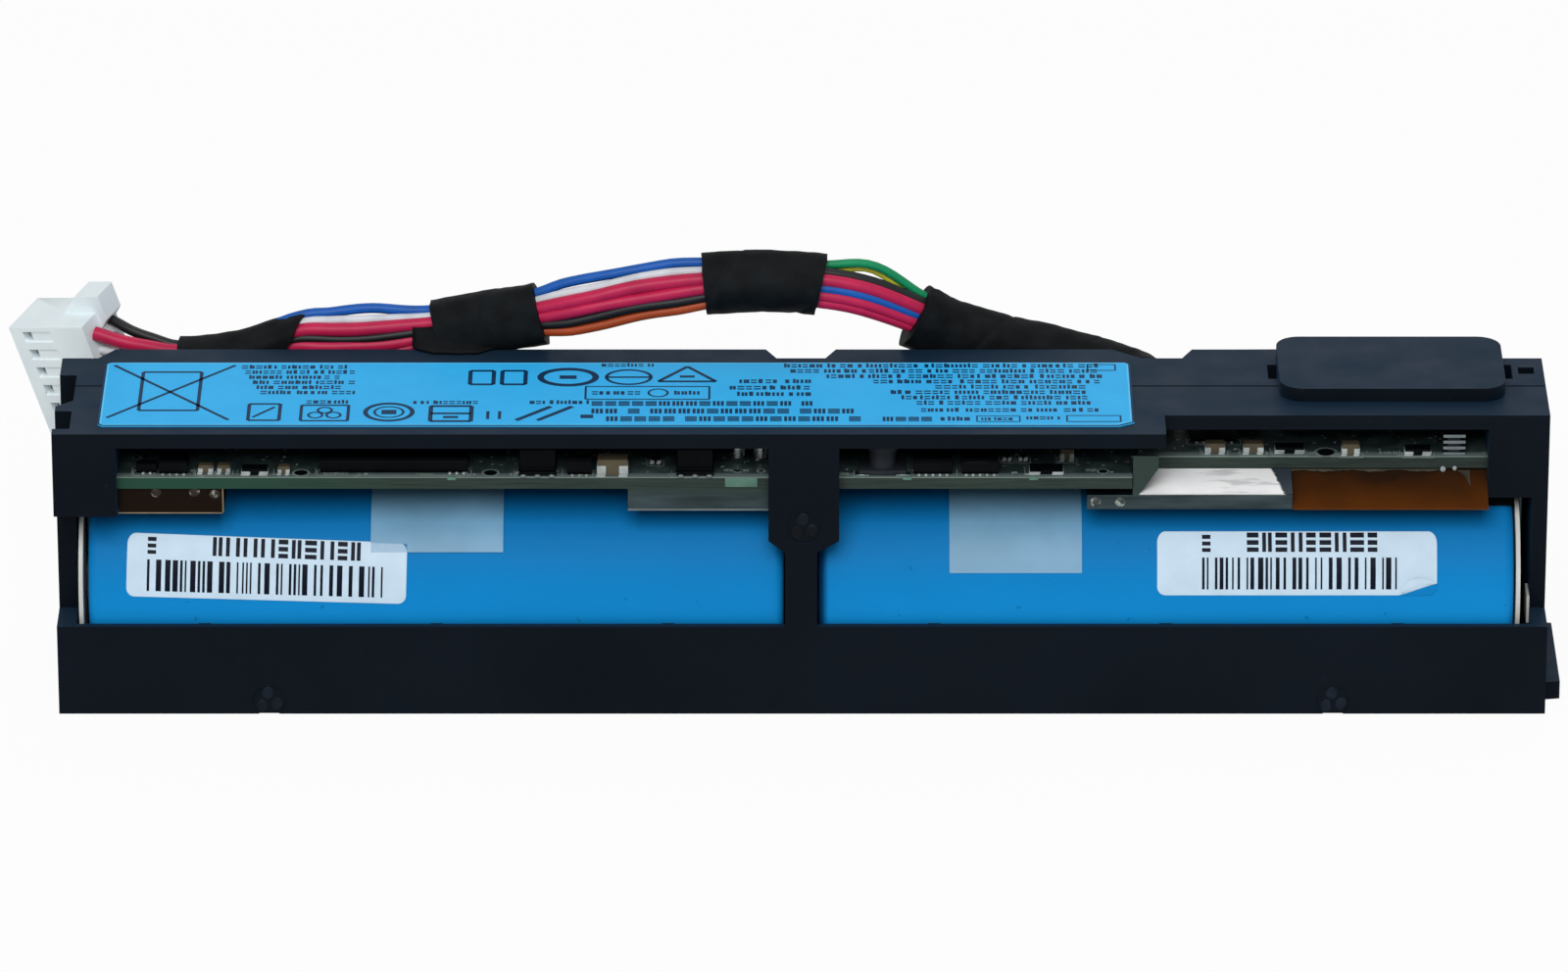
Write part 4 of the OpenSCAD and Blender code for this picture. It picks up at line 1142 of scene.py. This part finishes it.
def make_film_details():
    """Solder that shows at the top of the right film, and the film's pale torn edge."""
    b = Builder()
    # two beads of solder
    for x, size, share in ((-4.1, 0.26, 0.97), (-3.0, 0.2, 0.99)):
        centre = film_point(FILM_HI.x + x * MM, share, 0.15)
        rows = []
        for a in (math.pi / 2 * k / 4 for k in range(5)):
            c, s = math.cos(a), math.sin(a)
            rows.append([centre + mm(size * s * math.cos(q),
                                     -0.3 * size * c + 0.1 * math.sin(q),
                                     size * s * math.sin(q)) for q in turns(10)])
        b.grid(rows, closed=True)
    # a grey flap beside them
    rows = []
    for g in (k / 8 for k in range(9)):
        x = FILM_HI.x + (-2.7 + 1.1 * g) * MM
        rows.append([film_point(x, 0.92 - 0.36 * g * g, 0.06), film_point(x, 0.96, 0.06)])
    b.grid(rows, material=1)
    # the torn edge along the top
    pick = random.Random(3)
    rows = []
    for k in range(41):
        x = FILM_LO.x + (FILM_HI.x - TORN_END * MM - FILM_LO.x) * k / 40
        low = 0.93 + 0.03 * pick.random() + 0.02 * math.sin(k * 0.5)
        rows.append([film_point(x, low, 0.05), film_point(x, 0.99, 0.05)])
    b.grid(rows, material=1)
    piece("film_solder", b, [SOLDER, GREY_FILM])


def make_strip_edges():
    """Thin lines along the strips' and the left film's edges, in paler stuff on the left:
    painted edge highlights.
    """
    b = Builder()
    for node, height, material in (("left_nickel_strip", 0.16, 0), ("left_film_tape", 0.1, 1),
                                   ("right_nickel_strip", 0.1, 2)):
        lo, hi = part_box(node)
        front, back = lo.y - 0.02 * MM, lo.y + 0.05 * MM
        b.box((lo.x, front, lo.z), (hi.x, back, lo.z + height * MM), material)
        if material == 1:
            b.box((hi.x - 0.12 * MM, front, lo.z), (hi.x, back, hi.z), material)
    piece("strip_edges", b, [PINS, EDGE_HIGHLIGHT, NICKEL])


# The ejector marks on the window side: their radius in millimetres and their middles
MARK_RADIUS = 1.6
MARKS = [Vector((x, FRONT_LO.y, z * MM)) for x, z in (
    (LEFT_LO.x + 16.8 * MM, 1.3), (RIGHT_HI.x - 16.8 * MM, 1.3), (MID_X + 0.25 * MM, 19.15))]

def make_ejector_lobes():
    """Three raised lobes in each ejector mark, in a paler colour that is a painted highlight.
    """
    b = Builder()
    for centre in MARKS:
        for k in range(3):
            a = math.radians(98 + 120 * k)
            root = centre + mm(math.cos(a), 0, math.sin(a)) * 0.52 * MARK_RADIUS
            rows = []
            for g in (math.pi / 2 * j / 5 for j in range(6)):
                r = 0.4 * MARK_RADIUS * math.sin(g)
                rows.append([root + mm(
                    r * math.cos(q) * (0.8 + 0.25 * noise.noise((q, k, MARK_RADIUS))),
                    0.14 - 0.06 * math.cos(g), r * math.sin(q)) for q in turns(14)])
            b.grid(rows, closed=True)
    piece("ejector_lobes", b, [MARK_HIGHLIGHT], 60)

make_label_print()
make_sticker_print("left", STICKER_TILT, 21, (-11.2, 11.6), (-5.1, 9.2))
make_sticker_print("right", 0, 22, (-8.9, 10.3), (-4.7, 8.1))
make_board_parts()
make_board_print()
make_board_edge()
make_film_details()
make_strip_edges()
make_ejector_lobes()

# ---- stage and light

# Brightness of the floor in the background, and of the world's light on the object
FLOOR_GLOW, FILL = 0.95, 0.24
LAMP_AIM = Vector((0, 0, 0.015))


def seen_share(nodes, strength):
    """A socket that is `strength` for the rays that show the background, else 0."""
    rays = nodes.node("ShaderNodeLightPath").outputs
    seen = nodes.math("MAXIMUM", rays["Is Camera Ray"], rays["Is Glossy Ray"])
    seen = nodes.math("MAXIMUM", seen, rays["Is Transmission Ray"])
    return nodes.math("MULTIPLY", seen, strength)


def make_stage():
    """White floor that keeps a faint shadow of the object."""
    mesh = bpy.data.meshes.new("floor")
    mesh.from_pydata([(-4, -4, 0), (4, -4, 0), (4, 4, 0), (-4, 4, 0)], [], [(0, 1, 2, 3)])
    floor = new_object("floor", mesh)
    floor.location.z = -0.1 * MM
    white = bpy.data.materials.new("floor_white")
    white.use_nodes = True
    white.node_tree.nodes.clear()
    nodes = Nodes(white.node_tree)
    diffuse = nodes.node("ShaderNodeBsdfDiffuse", Color=(0.85, 0.85, 0.85, 1))
    mix = nodes.node("ShaderNodeMixShader")
    nodes.link(seen_share(nodes, FLOOR_GLOW), mix.inputs[0])
    nodes.link(diffuse.outputs[0], mix.inputs[1])
    nodes.link(nodes.node("ShaderNodeEmission").outputs[0], mix.inputs[2])
    nodes.link(mix.outputs[0], nodes.node("ShaderNodeOutputMaterial").inputs["Surface"])
    mesh.materials.append(white)


def make_world():
    """White where it is seen, and a soft fill light on the object."""
    world = bpy.data.worlds.new("world")
    bpy.context.scene.world = world
    world.use_nodes = True
    nodes = Nodes(world.node_tree)
    background = world.node_tree.nodes["Background"]
    background.inputs["Color"].default_value = (1, 1, 1, 1)
    strength = nodes.math("ADD", seen_share(nodes, 1 - FILL), FILL)
    nodes.link(strength, background.inputs["Strength"])


def make_lamp(name, place, size, power):
    data = bpy.data.lights.new(name, "AREA")
    data.size, data.energy = size, power
    aimed(name, data, place, LAMP_AIM)


make_stage()
make_world()
make_lamp("key", (-0.1, -0.9, 0.88), 0.75, 11)
make_lamp("back", (0.2, 0.6, 0.9), 0.6, 1.5)

bpy.context.scene.view_settings.view_transform = "Standard"
